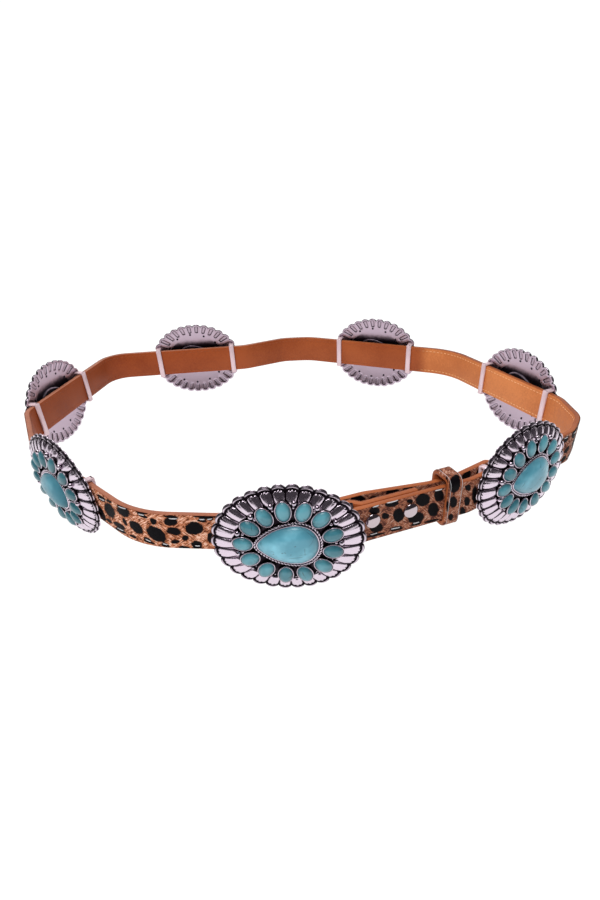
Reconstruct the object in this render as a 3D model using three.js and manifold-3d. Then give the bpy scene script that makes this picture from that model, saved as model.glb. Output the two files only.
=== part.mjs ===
// Concho belt: a leather strap faced with hair-on hide, closed round an open waist.
// Seven oval cast conchos, the front one the buckle, carry small stones round a pear stone.
// Millimetres, +Z up, the buckle faces -Y, and the belt stands on its conchos' lower edges.

import * as THREE from 'three';
import { mergeVertices } from 'three/addons/utils/BufferGeometryUtils.js';
import Module from 'manifold-3d';

const toRadians = THREE.MathUtils.degToRad;

// Strap: the hide face lies on the outside of the lining
const strapWidth = 19;
const liningThickness = 2;
const faceThickness = 1;
const seatGap = 0.3;
const strapThickness = liningThickness + seatGap + faceThickness;

// Loop that the strap's inner face makes, seen from above
const loopWidth = 347;
const loopDepth = 268;
const bendRadius = 20;

// Concho: an oval plate domed outwards, cut into flutes round its rim
const conchoWidth = 72.8;
const conchoHeight = 57.2;
const fluteCount = 30;
const grooveDepth = 1.5;
const grooveSink = 0.8;
const rimThickness = 1.6;
const plateThickness = 1.7;
const domeRise = 3.6;
const domePower = 2.6;
const footTrim = 0.5;

// Rings of the plate, as shares of its size
const backRing = 0.55;
const fluteEnd = 0.81;
const shelfStart = 0.77;
const shelfEnd = 0.38;


// Small stones in their bezels, in an oval ring on the plate
const smallStoneCount = 13;
const smallStoneLength = 10.4;
const smallStoneWidth = 7.8;
const smallStoneRise = 2.6;
const smallBezelRise = 1.1;
const smallStoneTilt = toRadians(15);
const stoneRingWidth = 42;
const stoneRingHeight = 35;

// Pear stone and its bezel in the middle
const pearLength = 28;
const pearWidth = 19.2;
const pearTaper = 0.3;
const pearSeatRise = 0.1;
const pearSeat = domeRise + rimThickness + pearSeatRise;
const pearWallRise = 0.9;
const pearDomeRise = 4.2;
const pearCrownSize = 0.68;
const pearCrownRise = 0.62;
const bezelWall = 1;
const bezelRise = 1.2;

// Flat bars behind each concho, which the strap runs under
const barSpacing = 60.5;
const barWidth = 3.7;
const barThickness = 1.6;
const legWidth = 2.5;
const strapBehindRim = 1;

// Buckle: a bail for the folded strap end and a post for the holed one
const buckleAcross = 0.003;
const buckleTurn = toRadians(-1.9);
const buckleStandoff = 8.1;
const bailAt = 30;
const bailInset = 1.2;
const bailBar = 2.6;
const hookAt = -20;
const hookDiameter = 3.6;
const hookHeadDiameter = 6;
const hookHeadThickness = 1.2;
const holePitch = 20;
const holeCount = 3;
const holeClearance = 0.4;

// Folded end, its two snaps and the keeper, by their distance from the bail
const foldGap = 0.4;
const foldTaper = 5;
const foldTaperBend = 3;
const snapStations = [9.3, 30];
const snapRaise = 2;
const foldBackPastSnap = 6;
const snapHeadDiameter = 7;
const snapHeadRise = 2.3;
const snapEdgeRise = 0.8;
const snapCrownSize = 0.72;
const snapCrownRise = 1.85;
const snapBackDiameter = 5.6;
const snapBackThickness = 1;
const snapPostDiameter = 3;
const keeperStation = 53.2;
const keeperWidth = 8.6;
const keeperThickness = 2.4;
const keeperRadius = 4.6;
const keeperRaise = 1;
const keeperSlack = 2.6;
const keeperClearance = 0.7;
const keeperHeadroom = 2.1;

// Free end of the strap, which lies inside the folded end
const tailSlackAt = 24;
const tailPastKeeper = 4;
const tailTipAt = 34;
const tailTipLength = 14;
const tipShoulder = 0.35;
const tipShoulderRise = 0.62;
const tailPastHook = 15;

// Fineness of the faceted curves
const bendStep = toRadians(20);
const roundSides = 10;
const smallStoneSides = 6;
const pearSides = 12;
const samePlace = 0.01;

// Corners of the strap's inner face from left of the buckle round the back to the keeper's side.
// across and back are shares of the loop's width and depth, and bend is one of bendRadius.
// A concho sits on the side after its corner, slide being its share of that side's free run and
// lean the degrees that its top tips inwards.
const loopCorners = [
  { across: -0.208, back: 0.021, bend: 2.5, slide: 0.81, lean: 0 },
  { across: -0.431, back: 0.304, bend: 0.9, slide: null, lean: 0 },
  { across: -0.5, back: 0.491, bend: 0.75, slide: 0.04, lean: 0 },
  { across: -0.433, back: 0.903, bend: 0.9, slide: 0.84, lean: 0 },
  { across: -0.114, back: 0.94, bend: 1.2, slide: null, lean: 0 },
  { across: -0.019, back: 0.998, bend: 1, slide: null, lean: 0 },
  { across: 0.044, back: 0.999, bend: 1.5, slide: 0.54, lean: 0 },
  { across: 0.369, back: 0.812, bend: 2, slide: 0.86, lean: 0 },
  { across: 0.5, back: 0.437, bend: 1, slide: null, lean: 0 },
  { across: 0.5, back: 0.334, bend: 1, slide: null, lean: 0 },
  { across: 0.469, back: 0.27, bend: 0.75, slide: 0.79, lean: 4.5 },
  { across: 0.266, back: 0.088, bend: 1, slide: null, lean: 0 },
];

const wasm = await Module();
wasm.setup();

// Solid of a closed geometry, and geometry of a solid
function solidOf(geometry) {
  const bare = geometry.clone();
  bare.deleteAttribute('normal');
  bare.deleteAttribute('uv');
  const merged = mergeVertices(bare);
  const faces = [];
  for (let i = 0; i < merged.index.count; i += 3) {
    const [a, b, c] = [0, 1, 2].map((k) => merged.index.getX(i + k));
    if (a !== b && b !== c && c !== a) faces.push(a, b, c);
  }
  return new wasm.Manifold(new wasm.Mesh({
    numProp: 3,
    vertProperties: new Float32Array(merged.attributes.position.array),
    triVerts: new Uint32Array(faces),
  }));
}

function geometryOf(solid) {
  const mesh = solid.getMesh();
  const geometry = new THREE.BufferGeometry();
  const corners = new Float32Array(mesh.vertProperties);
  geometry.setAttribute('position', new THREE.BufferAttribute(corners, 3));
  geometry.setIndex(new THREE.BufferAttribute(new Uint32Array(mesh.triVerts), 1));
  geometry.computeVertexNormals();
  return geometry;
}

// Closed skin over rings of points, from a first ring of one point to a last ring of one point
function skin(rings) {
  const positions = [];
  const starts = [];
  const faces = [];
  for (const ring of rings) {
    starts.push(positions.length / 3);
    for (const point of ring) positions.push(point.x, point.y, point.z);
  }
  for (let i = 0; i + 1 < rings.length; i += 1) {
    const steps = Math.max(rings[i].length, rings[i + 1].length);
    const index = (ring, k) => starts[ring] + (Math.round((k * rings[ring].length) / steps)
      % rings[ring].length);
    for (let k = 0; k < steps; k += 1) {
      const a = index(i, k);
      const b = index(i, k + 1);
      const c = index(i + 1, k + 1);
      const d = index(i + 1, k);
      if (a !== b) faces.push(a, b, c);
      if (c !== d) faces.push(a, c, d);
    }
  }
  const geometry = new THREE.BufferGeometry();
  geometry.setAttribute('position', new THREE.Float32BufferAttribute(positions, 3));
  geometry.setIndex(faces);
  geometry.computeVertexNormals();
  return geometry;
}

// Prism of a flat outline between two heights
function prism(points, low, high) {
  const geometry = new THREE.ExtrudeGeometry(new THREE.Shape(points), {
    depth: high - low,
    bevelEnabled: false,
  });
  geometry.translate(0, 0, low);
  return geometry;
}

// Turned piece about the z axis, from radius and height pairs that start and end on the axis
function turned(profile) {
  const geometry = new THREE.LatheGeometry(
    profile.map(([radius, height]) => new THREE.Vector2(radius, height)),
    roundSides,
  );
  geometry.rotateX(Math.PI / 2);
  return geometry;
}

// A seat is a place on the strap: a point of its inner face, its direction seen from outside
// towards the right, and so its outward side. along runs right, and out leads away from the waist.
function makeSeat(origin, turn) {
  const right = new THREE.Vector2(Math.cos(turn), Math.sin(turn));
  const outward = new THREE.Vector2(Math.sin(turn), -Math.cos(turn));
  const at = (along, out) => origin.clone().addScaledVector(right, along).addScaledVector(outward, out);
  return { origin, turn, right, outward, at };
}

// Crossing of two lines, each a point and a direction
function crossing(pointA, directionA, pointB, directionB) {
  const gap = pointB.clone().sub(pointA);
  const reach = gap.cross(directionB) / directionA.cross(directionB);
  return pointA.clone().addScaledVector(directionA, reach);
}

// Length that a corner's bend takes off each of its sides
function bendReach(before, corner, after, radius) {
  const into = corner.clone().sub(before).normalize();
  const away = after.clone().sub(corner).normalize();
  const turn = Math.abs(Math.atan2(into.cross(away), into.dot(away)));
  return radius * Math.tan(turn / 2);
}

// Rounded path: points of a line through the corners with their bends, each with the outward
// side of the strap, which lies on the left of the way along it
function roundedPath(corners) {
  const path = [];
  const add = (point, direction) => {
    if (path.length > 0 && path[path.length - 1].point.distanceTo(point) < samePlace) return;
    path.push({ point, outward: new THREE.Vector2(-direction.y, direction.x) });
  };
  const last = corners.length - 1;
  const heading = (i) => corners[i + 1].point.clone().sub(corners[i].point).normalize();
  add(corners[0].point, heading(0));
  for (let i = 1; i < last; i += 1) {
    const into = heading(i - 1);
    const away = heading(i);
    const { point, bend } = corners[i];
    const reach = bendReach(corners[i - 1].point, point, corners[i + 1].point, bend);
    const turn = Math.atan2(into.cross(away), into.dot(away));
    const start = point.clone().addScaledVector(into, -reach);
    const side = new THREE.Vector2(-into.y, into.x).multiplyScalar(Math.sign(turn));
    const centre = start.clone().addScaledVector(side, bend);
    const steps = Math.max(2, Math.ceil(Math.abs(turn) / bendStep));
    for (let k = 0; k <= steps; k += 1) {
      const angle = (turn * k) / steps;
      const place = start.clone().rotateAround(centre, angle);
      add(place, into.clone().rotateAround(new THREE.Vector2(), angle));
    }
  }
  add(corners[last].point, heading(last - 1));
  return path;
}

// Seat at a distance from the path's start
function seatAlong(path, distance) {
  let left = distance;
  for (let i = 0; i + 1 < path.length; i += 1) {
    const step = path[i + 1].point.clone().sub(path[i].point);
    const length = step.length();
    if (left <= length) {
      const origin = path[i].point.clone().addScaledVector(step, left / length);
      return makeSeat(origin, Math.atan2(-step.y, -step.x));
    }
    left -= length;
  }
  return makeSeat(path[path.length - 1].point, 0);
}

// Distance from the path's start to the place on it that is nearest to a point
function distanceTo(path, target) {
  let best = Infinity;
  let found = 0;
  let passed = 0;
  for (let i = 0; i + 1 < path.length; i += 1) {
    const step = path[i + 1].point.clone().sub(path[i].point);
    const length = step.length();
    const toTarget = target.clone().sub(path[i].point);
    const run = THREE.MathUtils.clamp(toTarget.dot(step) / length, 0, length);
    const miss = toTarget.addScaledVector(step, -run / length).length();
    if (miss < best) {
      best = miss;
      found = passed + run;
    }
    passed += length;
  }
  return found;
}

// Seats of the buckle and of the folded end, whose direction is fixed by the loop's last corner
const loopPoints = loopCorners.map(({ across, back }) => (
  new THREE.Vector2(across * loopWidth, back * loopDepth)));
const buckleSeat = makeSeat(new THREE.Vector2(buckleAcross * loopWidth, 0), buckleTurn);
const foldStart = buckleSeat.at(bailAt, -bailInset);
const keeperCorner = loopPoints[loopPoints.length - 1];
const foldDirection = keeperCorner.clone().sub(foldStart);
const foldSeat = makeSeat(foldStart, Math.atan2(foldDirection.y, foldDirection.x));
const foldRadius = bailBar * Math.SQRT1_2 + seatGap;
const foldBackEnd = snapStations[snapStations.length - 1] + foldBackPastSnap;

// Insets of the free end's inner face from the folded end's, at the fold and in the keeper, and
// from the strap's beyond the keeper, where it lies behind a leaning concho's bar
const tailFoldInset = 2 * foldRadius + strapThickness + foldGap + strapThickness;
const tailKeeperInset = strapThickness + keeperSlack;
const tailConchoLean = toRadians(loopCorners[loopCorners.length - 2].lean);
const concealedInset = strapWidth * Math.tan(tailConchoLean)
  + seatGap + barThickness + foldGap + strapThickness + seatGap;

function tailCorners() {
  const sideStart = loopPoints[loopPoints.length - 2];
  const sideHeading = keeperCorner.clone().sub(sideStart).normalize();
  const side = makeSeat(keeperCorner, Math.atan2(-sideHeading.y, -sideHeading.x));
  const insideSide = side.at(0, -concealedInset);
  const beforeKeeper = keeperStation - keeperWidth / 2 - tailPastKeeper;
  return [
    { point: side.at(tailTipAt, -concealedInset), bend: 0 },
    {
      point: crossing(insideSide, side.right, foldSeat.at(0, -tailKeeperInset), foldSeat.right),
      bend: bendRadius,
    },
    { point: foldSeat.at(beforeKeeper, -tailKeeperInset), bend: bendRadius },
    { point: foldSeat.at(tailSlackAt, -tailFoldInset), bend: bendRadius },
    {
      point: crossing(foldSeat.at(0, -tailFoldInset), foldSeat.right, buckleSeat.origin, buckleSeat.right),
      bend: bendRadius,
    },
    { point: buckleSeat.at(hookAt - tailPastHook, 0), bend: bendRadius },
  ];
}

// The fold goes half round the bail, then slants back to lie close behind the strap
function foldCorners() {
  const rise = foldRadius - foldGap;
  const slant = Math.atan2(rise, foldTaper) + Math.asin(foldRadius / Math.hypot(foldTaper, rise));
  const reach = foldRadius * Math.tan(Math.PI / 4 + slant / 2);
  return [
    { point: foldSeat.at(-foldRadius, 0), bend: foldRadius },
    { point: foldSeat.at(-foldRadius, -foldRadius - reach), bend: foldRadius },
    { point: foldSeat.at(foldTaper, -foldGap), bend: foldTaperBend },
    { point: foldSeat.at(foldBackEnd, -foldGap), bend: 0 },
  ];
}

const strapCorners = [
  ...tailCorners(),
  ...loopPoints.map((point, i) => ({ point, bend: loopCorners[i].bend * bendRadius })),
  ...foldCorners(),
];
const strapPath = roundedPath(strapCorners);

// Seats and leans of the six conchos, each where its two bars lie on a straight run of the strap
function conchoSeats() {
  const offset = strapCorners.findIndex(({ point }) => point === loopPoints[0]);
  const halfSpan = (barSpacing + barWidth) / 2;
  const seats = [];
  loopCorners.forEach(({ slide, lean }, i) => {
    if (slide === null) return;
    const [before, start, end, after] = [-1, 0, 1, 2].map((k) => strapCorners[offset + i + k]);
    const side = end.point.clone().sub(start.point);
    const startReach = bendReach(before.point, start.point, end.point, start.bend);
    const endReach = bendReach(start.point, end.point, after.point, end.bend);
    const freeRun = side.length() - startReach - endReach - 2 * halfSpan;
    const place = startReach + halfSpan + slide * freeRun;
    const origin = start.point.clone().addScaledVector(side, place / side.length());
    seats.push({ seat: makeSeat(origin, Math.atan2(-side.y, -side.x)), lean: toRadians(lean) });
  });
  return seats;
}

// A piece drawn in its seat's own frame: x right, y up from the strap's middle, z outward
const middleHeight = conchoHeight / 2 - footTrim;

function placeAt(object, seat, { out = 0, raise = 0, lean = 0 }) {
  const point = seat.at(0, out);
  object.position.set(point.x, point.y, middleHeight + raise);
  object.rotation.order = 'ZYX';
  object.rotation.set(Math.PI / 2 - lean, 0, seat.turn);
  object.updateMatrix();
  return object;
}

function solidAt(geometry, seat, raise = 0) {
  const holder = placeAt(new THREE.Object3D(), seat, { raise });
  return solidOf(geometry.clone().applyMatrix4(holder.matrix));
}

// Round cutter through the strap at a seat
function holeCutter(diameter, seat, inner, outer, raise = 0) {
  const radius = diameter / 2;
  return solidAt(turned([[0, inner], [radius, inner], [radius, outer], [0, outer]]), seat, raise);
}

// Point of the free end: what is cut off above and below it, past the strap by a margin
function tipCutters() {
  const seat = makeSeat(strapCorners[0].point, seatAlong(strapPath, 0).turn);
  const half = strapWidth / 2;
  const margin = 1;
  const shoulder = new THREE.Vector2(-tipShoulder * tailTipLength, tipShoulderRise * half);
  return [1, -1].map((up) => {
    const points = [
      new THREE.Vector2(-tailTipLength, half),
      shoulder,
      new THREE.Vector2(0, 0),
      new THREE.Vector2(margin, 0),
      new THREE.Vector2(margin, half + margin),
      new THREE.Vector2(-tailTipLength, half + margin),
    ].map(({ x, y }) => new THREE.Vector2(x, up * y));
    return solidAt(prism(points, -margin, strapThickness + margin), seat);
  });
}

// One layer of the strap between two depths outward of its inner face
function strapLayer(inner, outer) {
  const points = [
    ...strapPath.map(({ point, outward }) => point.clone().addScaledVector(outward, inner)),
    ...strapPath.map(({ point, outward }) => point.clone().addScaledVector(outward, outer)).reverse(),
  ];
  const low = middleHeight - strapWidth / 2;
  let layer = solidOf(prism(points, low, low + strapWidth));
  for (const station of snapStations) {
    const seat = makeSeat(foldSeat.at(station, 0), foldSeat.turn);
    const inner = -(foldGap + strapThickness + seatGap);
    const cutter = holeCutter(
      snapPostDiameter + 2 * seatGap, seat, inner, strapThickness + seatGap, snapRaise);
    layer = layer.subtract(cutter);
  }
  const hookDistance = distanceTo(strapPath, buckleSeat.at(hookAt, 0));
  for (let k = 0; k < holeCount; k += 1) {
    const seat = seatAlong(strapPath, hookDistance - k * holePitch);
    layer = layer.subtract(
      holeCutter(hookDiameter + 2 * holeClearance, seat, -seatGap, strapThickness + seatGap));
  }
  for (const cutter of tipCutters()) layer = layer.subtract(cutter);
  return geometryOf(layer);
}

// Angles round an oval that part its edge into equal lengths, the first at its right end
function evenAngles(halfWidth, halfHeight, count) {
  const fine = 3600;
  const reach = [0];
  for (let k = 0; k < fine; k += 1) {
    const angle = ((k + 0.5) / fine) * 2 * Math.PI;
    const step = Math.hypot(halfWidth * Math.sin(angle), halfHeight * Math.cos(angle));
    reach.push(reach[k] + step);
  }
  return Array.from({ length: count }, (_, i) => {
    const target = (reach[fine] * i) / count;
    return (reach.findIndex((length) => length >= target) / fine) * 2 * Math.PI;
  });
}

const halfWidth = conchoWidth / 2;
const halfHeight = conchoHeight / 2;
const domeTop = (share) => rimThickness + domeRise * (1 - share ** domePower);
const flutePoints = 3;

// Ring of the oval plate at a share of its size, from its points' angles
const ovalRing = (share, height, angles) => angles.map((angle) => (
  new THREE.Vector3(share * halfWidth * Math.cos(angle), share * halfHeight * Math.sin(angle), height)));

const grooveAngles = evenAngles(halfWidth, halfHeight, fluteCount * 2).filter((_, i) => i % 2 === 1);
const stoneSectors = Array.from({ length: smallStoneCount }, (_, i) => (i / smallStoneCount) * 2 * Math.PI);

// Scalloped rim: a groove and the two corners of a lobe for each flute; lobes at the foot are
// trimmed flat, so that the concho stands on them
function rimRing(lobeHeight, grooveHeight) {
  const angles = evenAngles(halfWidth, halfHeight, fluteCount * flutePoints * 2);
  const foot = -(halfHeight - footTrim);
  return Array.from({ length: fluteCount * flutePoints }, (_, k) => {
    const angle = angles[(k * 2 + flutePoints) % angles.length];
    const groove = k % flutePoints === 0;
    const inward = groove ? 1 - grooveDepth / halfHeight : 1;
    return new THREE.Vector3(
      inward * halfWidth * Math.cos(angle),
      Math.max(foot, inward * halfHeight * Math.sin(angle)),
      groove ? grooveHeight : lobeHeight,
    );
  });
}

// The flutes end at a shelf of flat faces, one under each small stone
function plateBody() {
  return solidOf(skin([
    [new THREE.Vector3(0, 0, domeTop(0) - plateThickness)],
    ovalRing(backRing, domeTop(backRing) - plateThickness, stoneSectors),
    rimRing(0, 0),
    rimRing(rimThickness, rimThickness - grooveSink),
    ovalRing(fluteEnd, domeTop(fluteEnd), grooveAngles),
    ovalRing(shelfStart, domeTop(shelfStart), stoneSectors),
    ovalRing(shelfEnd, domeTop(shelfEnd), stoneSectors),
    [new THREE.Vector3(0, 0, domeTop(0))],
  ]));
}

// Small oval stone with its bezel, long way out from the middle and tipped outwards
function smallStone(index) {
  const angle = Math.PI + (index / smallStoneCount) * 2 * Math.PI;
  const x = (stoneRingWidth / 2) * Math.cos(angle);
  const y = (stoneRingHeight / 2) * Math.sin(angle);
  const share = Math.hypot(x / halfWidth, y / halfHeight);
  const outAngle = Math.atan2(y, x);
  const oval = (size, height) => Array.from({ length: smallStoneSides }, (_, k) => {
    const turn = ((k + 0.5) / smallStoneSides) * 2 * Math.PI;
    return new THREE.Vector3(
      (size * smallStoneLength * Math.cos(turn)) / 2,
      (size * smallStoneWidth * Math.sin(turn)) / 2,
      height,
    );
  });
  const geometry = skin([
    [new THREE.Vector3(0, 0, -plateThickness / 2)],
    oval(1, -plateThickness / 2),
    oval(1, smallBezelRise),
    [new THREE.Vector3(0, 0, smallStoneRise)],
  ]);
  geometry.rotateY(smallStoneTilt);
  geometry.rotateZ(outAngle);
  geometry.translate(x, y, domeTop(share));
  return solidOf(geometry);
}

// Pear outline, blunt tip to the left, grown all round by a margin
function pearOutline(margin) {
  return Array.from({ length: pearSides }, (_, k) => {
    const turn = (k / pearSides) * 2 * Math.PI;
    const taper = (1 + pearTaper * Math.cos(turn)) / Math.hypot(1, pearTaper / 2);
    return new THREE.Vector2(
      (pearLength / 2 + margin) * Math.cos(turn),
      (pearWidth / 2 + margin) * Math.sin(turn) * taper,
    );
  });
}

function pearCup() {
  const top = pearSeat + bezelRise;
  const outer = solidOf(prism(pearOutline(seatGap + bezelWall), pearSeat - plateThickness, top));
  return outer.subtract(solidOf(prism(pearOutline(seatGap), pearSeat, top + bezelRise)));
}

function pearStone() {
  const base = pearSeat + seatGap;
  const girdle = base + pearWallRise;
  const ring = (size, height) => pearOutline(0).map(({ x, y }) => (
    new THREE.Vector3(size * x, size * y, height)));
  return skin([
    [new THREE.Vector3(0, 0, base)],
    ring(1, base),
    ring(1, girdle),
    ring(pearCrownSize, girdle + pearDomeRise * pearCrownRise),
    [new THREE.Vector3(0, 0, girdle + pearDomeRise)],
  ]);
}

// Staple behind the plate: a bar across the strap with a leg above it and one below
function staple(centreX, innerDepth, width, thickness, root) {
  const inside = strapWidth / 2 + seatGap * 2;
  const outside = inside + legWidth;
  const back = -innerDepth - thickness;
  const points = [
    [root, -outside], [back, -outside], [back, outside], [root, outside],
    [root, inside], [-innerDepth, inside], [-innerDepth, -inside], [root, -inside],
  ].map(([depth, height]) => new THREE.Vector2(-depth, height));
  const geometry = prism(points, -width / 2, width / 2);
  geometry.rotateY(Math.PI / 2);
  geometry.translate(centreX, 0, 0);
  return solidOf(geometry);
}

// Depth inside the plate where a leg at this distance from the middle is soldered on
function plateRoot(x) {
  const share = Math.hypot(x / halfWidth, (strapWidth / 2 + legWidth) / halfHeight);
  return domeTop(Math.min(share, 1)) - plateThickness / 2;
}

function settingBody() {
  let body = plateBody().add(pearCup());
  for (let i = 0; i < smallStoneCount; i += 1) body = body.add(smallStone(i));
  return body;
}

const setting = settingBody();

function conchoGeometry(lean) {
  const x = barSpacing / 2;
  const depth = strapBehindRim + strapThickness + seatGap + (strapWidth / 2) * Math.tan(lean);
  let body = setting;
  for (const side of [-x, x]) {
    body = body.add(staple(side, depth, barWidth, barThickness, plateRoot(x)));
  }
  return geometryOf(body);
}

function buckleGeometry() {
  const barCentre = foldSeat.at(0, -foldRadius).sub(buckleSeat.origin);
  const bailX = barCentre.dot(buckleSeat.right);
  const bailDepth = buckleStandoff - barCentre.dot(buckleSeat.outward) - bailBar / 2;
  const inner = -buckleStandoff - seatGap;
  const hook = turned([
    [0, inner - hookHeadThickness],
    [hookHeadDiameter / 2, inner - hookHeadThickness],
    [hookHeadDiameter / 2, inner],
    [hookDiameter / 2, inner],
    [hookDiameter / 2, plateRoot(hookAt)],
    [0, plateRoot(hookAt)],
  ]);
  hook.translate(hookAt, 0, 0);
  const body = setting
    .add(staple(bailX, bailDepth, bailBar, bailBar, plateRoot(bailX)))
    .add(solidOf(hook));
  return geometryOf(body);
}

// Snap: a domed head outside, a post through both layers and a flat disc behind them
function snapGeometry() {
  const head = strapThickness + seatGap;
  const back = -(foldGap + strapThickness + seatGap);
  const radius = snapHeadDiameter / 2;
  return turned([
    [0, back - snapBackThickness],
    [snapBackDiameter / 2, back - snapBackThickness],
    [snapBackDiameter / 2, back],
    [snapPostDiameter / 2, back],
    [snapPostDiameter / 2, head],
    [radius, head],
    [radius, head + snapEdgeRise],
    [radius * snapCrownSize, head + snapCrownRise],
    [0, head + snapHeadRise],
  ]);
}

// Keeper: a loose leather loop with round corners about the folded end and the free end
function keeperGeometry() {
  const turns = [0, 0.5, 1].map((share) => (share * Math.PI) / 2);
  const outline = (margin) => {
    const left = -strapThickness - keeperClearance - margin;
    const right = tailKeeperInset + keeperClearance + margin;
    const top = strapWidth / 2 + keeperHeadroom + margin;
    const radius = keeperRadius - keeperThickness + margin;
    const corners = [[right, top], [left, top], [left, -top], [right, -top]];
    return corners.flatMap(([x, y], quarter) => turns.map((turn) => new THREE.Vector2(
      x - Math.sign(x) * radius + radius * Math.cos(turn + (quarter * Math.PI) / 2),
      y - Math.sign(y) * radius + radius * Math.sin(turn + (quarter * Math.PI) / 2),
    )));
  };
  const shape = new THREE.Shape(outline(keeperThickness));
  shape.holes.push(new THREE.Path(outline(0)));
  const geometry = new THREE.ExtrudeGeometry(shape, { depth: keeperWidth, bevelEnabled: false });
  geometry.translate(0, 0, -keeperWidth / 2);
  geometry.rotateY(Math.PI / 2);
  return geometry;
}

const finishes = {
  silver: { color: 0xb9b0b6, roughness: 0.38, metalness: 1 },
  turquoise: { color: 0x5fa9b0, roughness: 0.32, metalness: 0 },
  lining: { color: 0xb4703d, roughness: 0.6, metalness: 0 },
  hide: { color: 0xa9835c, roughness: 0.9, metalness: 0 },
  chrome: { color: 0xd9d9dc, roughness: 0.15, metalness: 1 },
};

function makeMesh(name, geometry, finish) {
  const mesh = new THREE.Mesh(geometry, new THREE.MeshStandardMaterial(finishes[finish]));
  mesh.name = name;
  return mesh;
}

const belt = new THREE.Group();
belt.add(makeMesh('strap_lining', strapLayer(0, liningThickness), 'lining'));
belt.add(makeMesh('strap_face', strapLayer(liningThickness + seatGap, strapThickness), 'hide'));

const pearGeometry = pearStone();
const buckle = placeAt(new THREE.Group(), buckleSeat, { out: buckleStandoff });
buckle.add(makeMesh('buckle', buckleGeometry(), 'silver'));
buckle.add(makeMesh('buckle_stone', pearGeometry, 'turquoise'));
belt.add(buckle);

conchoSeats().forEach(({ seat, lean }, i) => {
  const concho = placeAt(new THREE.Group(), seat, { out: strapThickness + strapBehindRim, lean });
  concho.add(makeMesh(`concho_${i + 1}`, conchoGeometry(lean), 'silver'));
  concho.add(makeMesh(`concho_${i + 1}_stone`, pearGeometry, 'turquoise'));
  belt.add(concho);
});

snapStations.forEach((station, i) => {
  const seat = makeSeat(foldSeat.at(station, 0), foldSeat.turn);
  belt.add(placeAt(makeMesh(`snap_${i + 1}`, snapGeometry(), 'chrome'), seat, { raise: snapRaise }));
});

const keeperSeat = makeSeat(foldSeat.at(keeperStation, 0), foldSeat.turn);
belt.add(placeAt(makeMesh('keeper', keeperGeometry(), 'hide'), keeperSeat, { raise: keeperRaise }));

// The origin is under the middle of the belt, on the surface that it stands on
belt.updateMatrixWorld(true);
const bounds = new THREE.Box3().setFromObject(belt, true);
const centre = bounds.getCenter(new THREE.Vector3());
belt.position.set(-centre.x, -centre.y, -bounds.min.z);

export default belt;
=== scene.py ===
import math
import random

import bpy
import numpy as np
from mathutils import Matrix, Vector


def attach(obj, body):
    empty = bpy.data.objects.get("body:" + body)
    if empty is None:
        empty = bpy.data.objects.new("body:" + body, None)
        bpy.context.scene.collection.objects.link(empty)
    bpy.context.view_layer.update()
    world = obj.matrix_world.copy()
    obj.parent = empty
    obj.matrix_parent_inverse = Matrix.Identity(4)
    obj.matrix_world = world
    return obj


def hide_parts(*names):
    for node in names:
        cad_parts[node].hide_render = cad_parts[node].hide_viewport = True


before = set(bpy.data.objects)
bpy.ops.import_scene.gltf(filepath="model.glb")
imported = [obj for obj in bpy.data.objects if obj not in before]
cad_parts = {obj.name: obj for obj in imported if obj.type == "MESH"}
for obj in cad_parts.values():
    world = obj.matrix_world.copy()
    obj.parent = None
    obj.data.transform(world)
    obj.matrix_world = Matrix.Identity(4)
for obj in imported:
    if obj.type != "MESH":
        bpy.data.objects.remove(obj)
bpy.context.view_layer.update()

mm = 0.001
scene = bpy.context.scene
print("belt frame loaded,", len(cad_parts), "nodes")

# ---- camera and studio

photograph = {"width": 600, "height": 900}
camera = {
    "place": (14.10, -337.58, 180.12),
    "tilt": 54.088,
    "roll": -2.361,
    "lens": 21.703,
    "shift": (-0.0145, 0.0874),
    "sensor": 36.0,
}
studio = {
    "floorShade": (0.16, 0.16, 0.16),
    "floorGlow": 0.97,
    "floorHalf": 6.0,
    "ambient": (0.05, 0.046, 0.052),
    "lightSize": 0.8,
    "topLight": {"place": (-0.15, 0.0, 1.35), "aim": (0.0, 0.0, 0.0), "power": 8.5, "mirrored": True},
    "sideLight": {"place": (-0.35, -1.05, 1.30), "aim": (0.0, 0.0, 0.03), "power": 19.0, "mirrored": False},
    "sweepFrom": 2.2,
    "sweepRadius": 1.0,
    "backdropHeight": 5.0,
}


def turnMatrix(degrees, axis):
    return Matrix.Rotation(math.radians(degrees), 4, axis)


cameraTurn = turnMatrix(camera["tilt"], "X") @ turnMatrix(camera["roll"], "Z")


def makeCamera():
    data = bpy.data.cameras.new("beltCamera")
    data.lens = camera["lens"]
    data.sensor_width = camera["sensor"]
    data.shift_x, data.shift_y = camera["shift"]
    data.clip_start = 0.01
    item = bpy.data.objects.new("beltCamera", data)
    item.matrix_world = Matrix.Translation(Vector(camera["place"]) * mm) @ cameraTurn
    scene.collection.objects.link(item)
    scene.camera = item


def seenAt(points):
    # where points, in millimetres, lie in the photograph's frame
    local = (np.asarray(points) - np.array(camera["place"])) @ np.array(cameraTurn.to_3x3())
    width, height = photograph["width"], photograph["height"]
    reach = camera["lens"] / camera["sensor"] * height
    acrossShift, upShift = camera["shift"]
    return (width / 2 - acrossShift * height + reach * local[:, 0] / -local[:, 2],
            height / 2 + upShift * height - reach * local[:, 1] / -local[:, 2])


def makeLight(name, values):
    data = bpy.data.lights.new(name, "AREA")
    data.shape = "DISK"
    data.size = studio["lightSize"]
    data.energy = values["power"]
    item = bpy.data.objects.new(name, data)
    place = Vector(values["place"])
    item.location = place
    item.rotation_euler = (Vector(values["aim"]) - place).to_track_quat("-Z", "Y").to_euler()
    item.visible_glossy = values["mirrored"]
    scene.collection.objects.link(item)


def nodeMaterial(name):
    material = bpy.data.materials.new(name)
    material.use_nodes = True
    tree = material.node_tree
    return material, tree, tree.nodes["Principled BSDF"]


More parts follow.
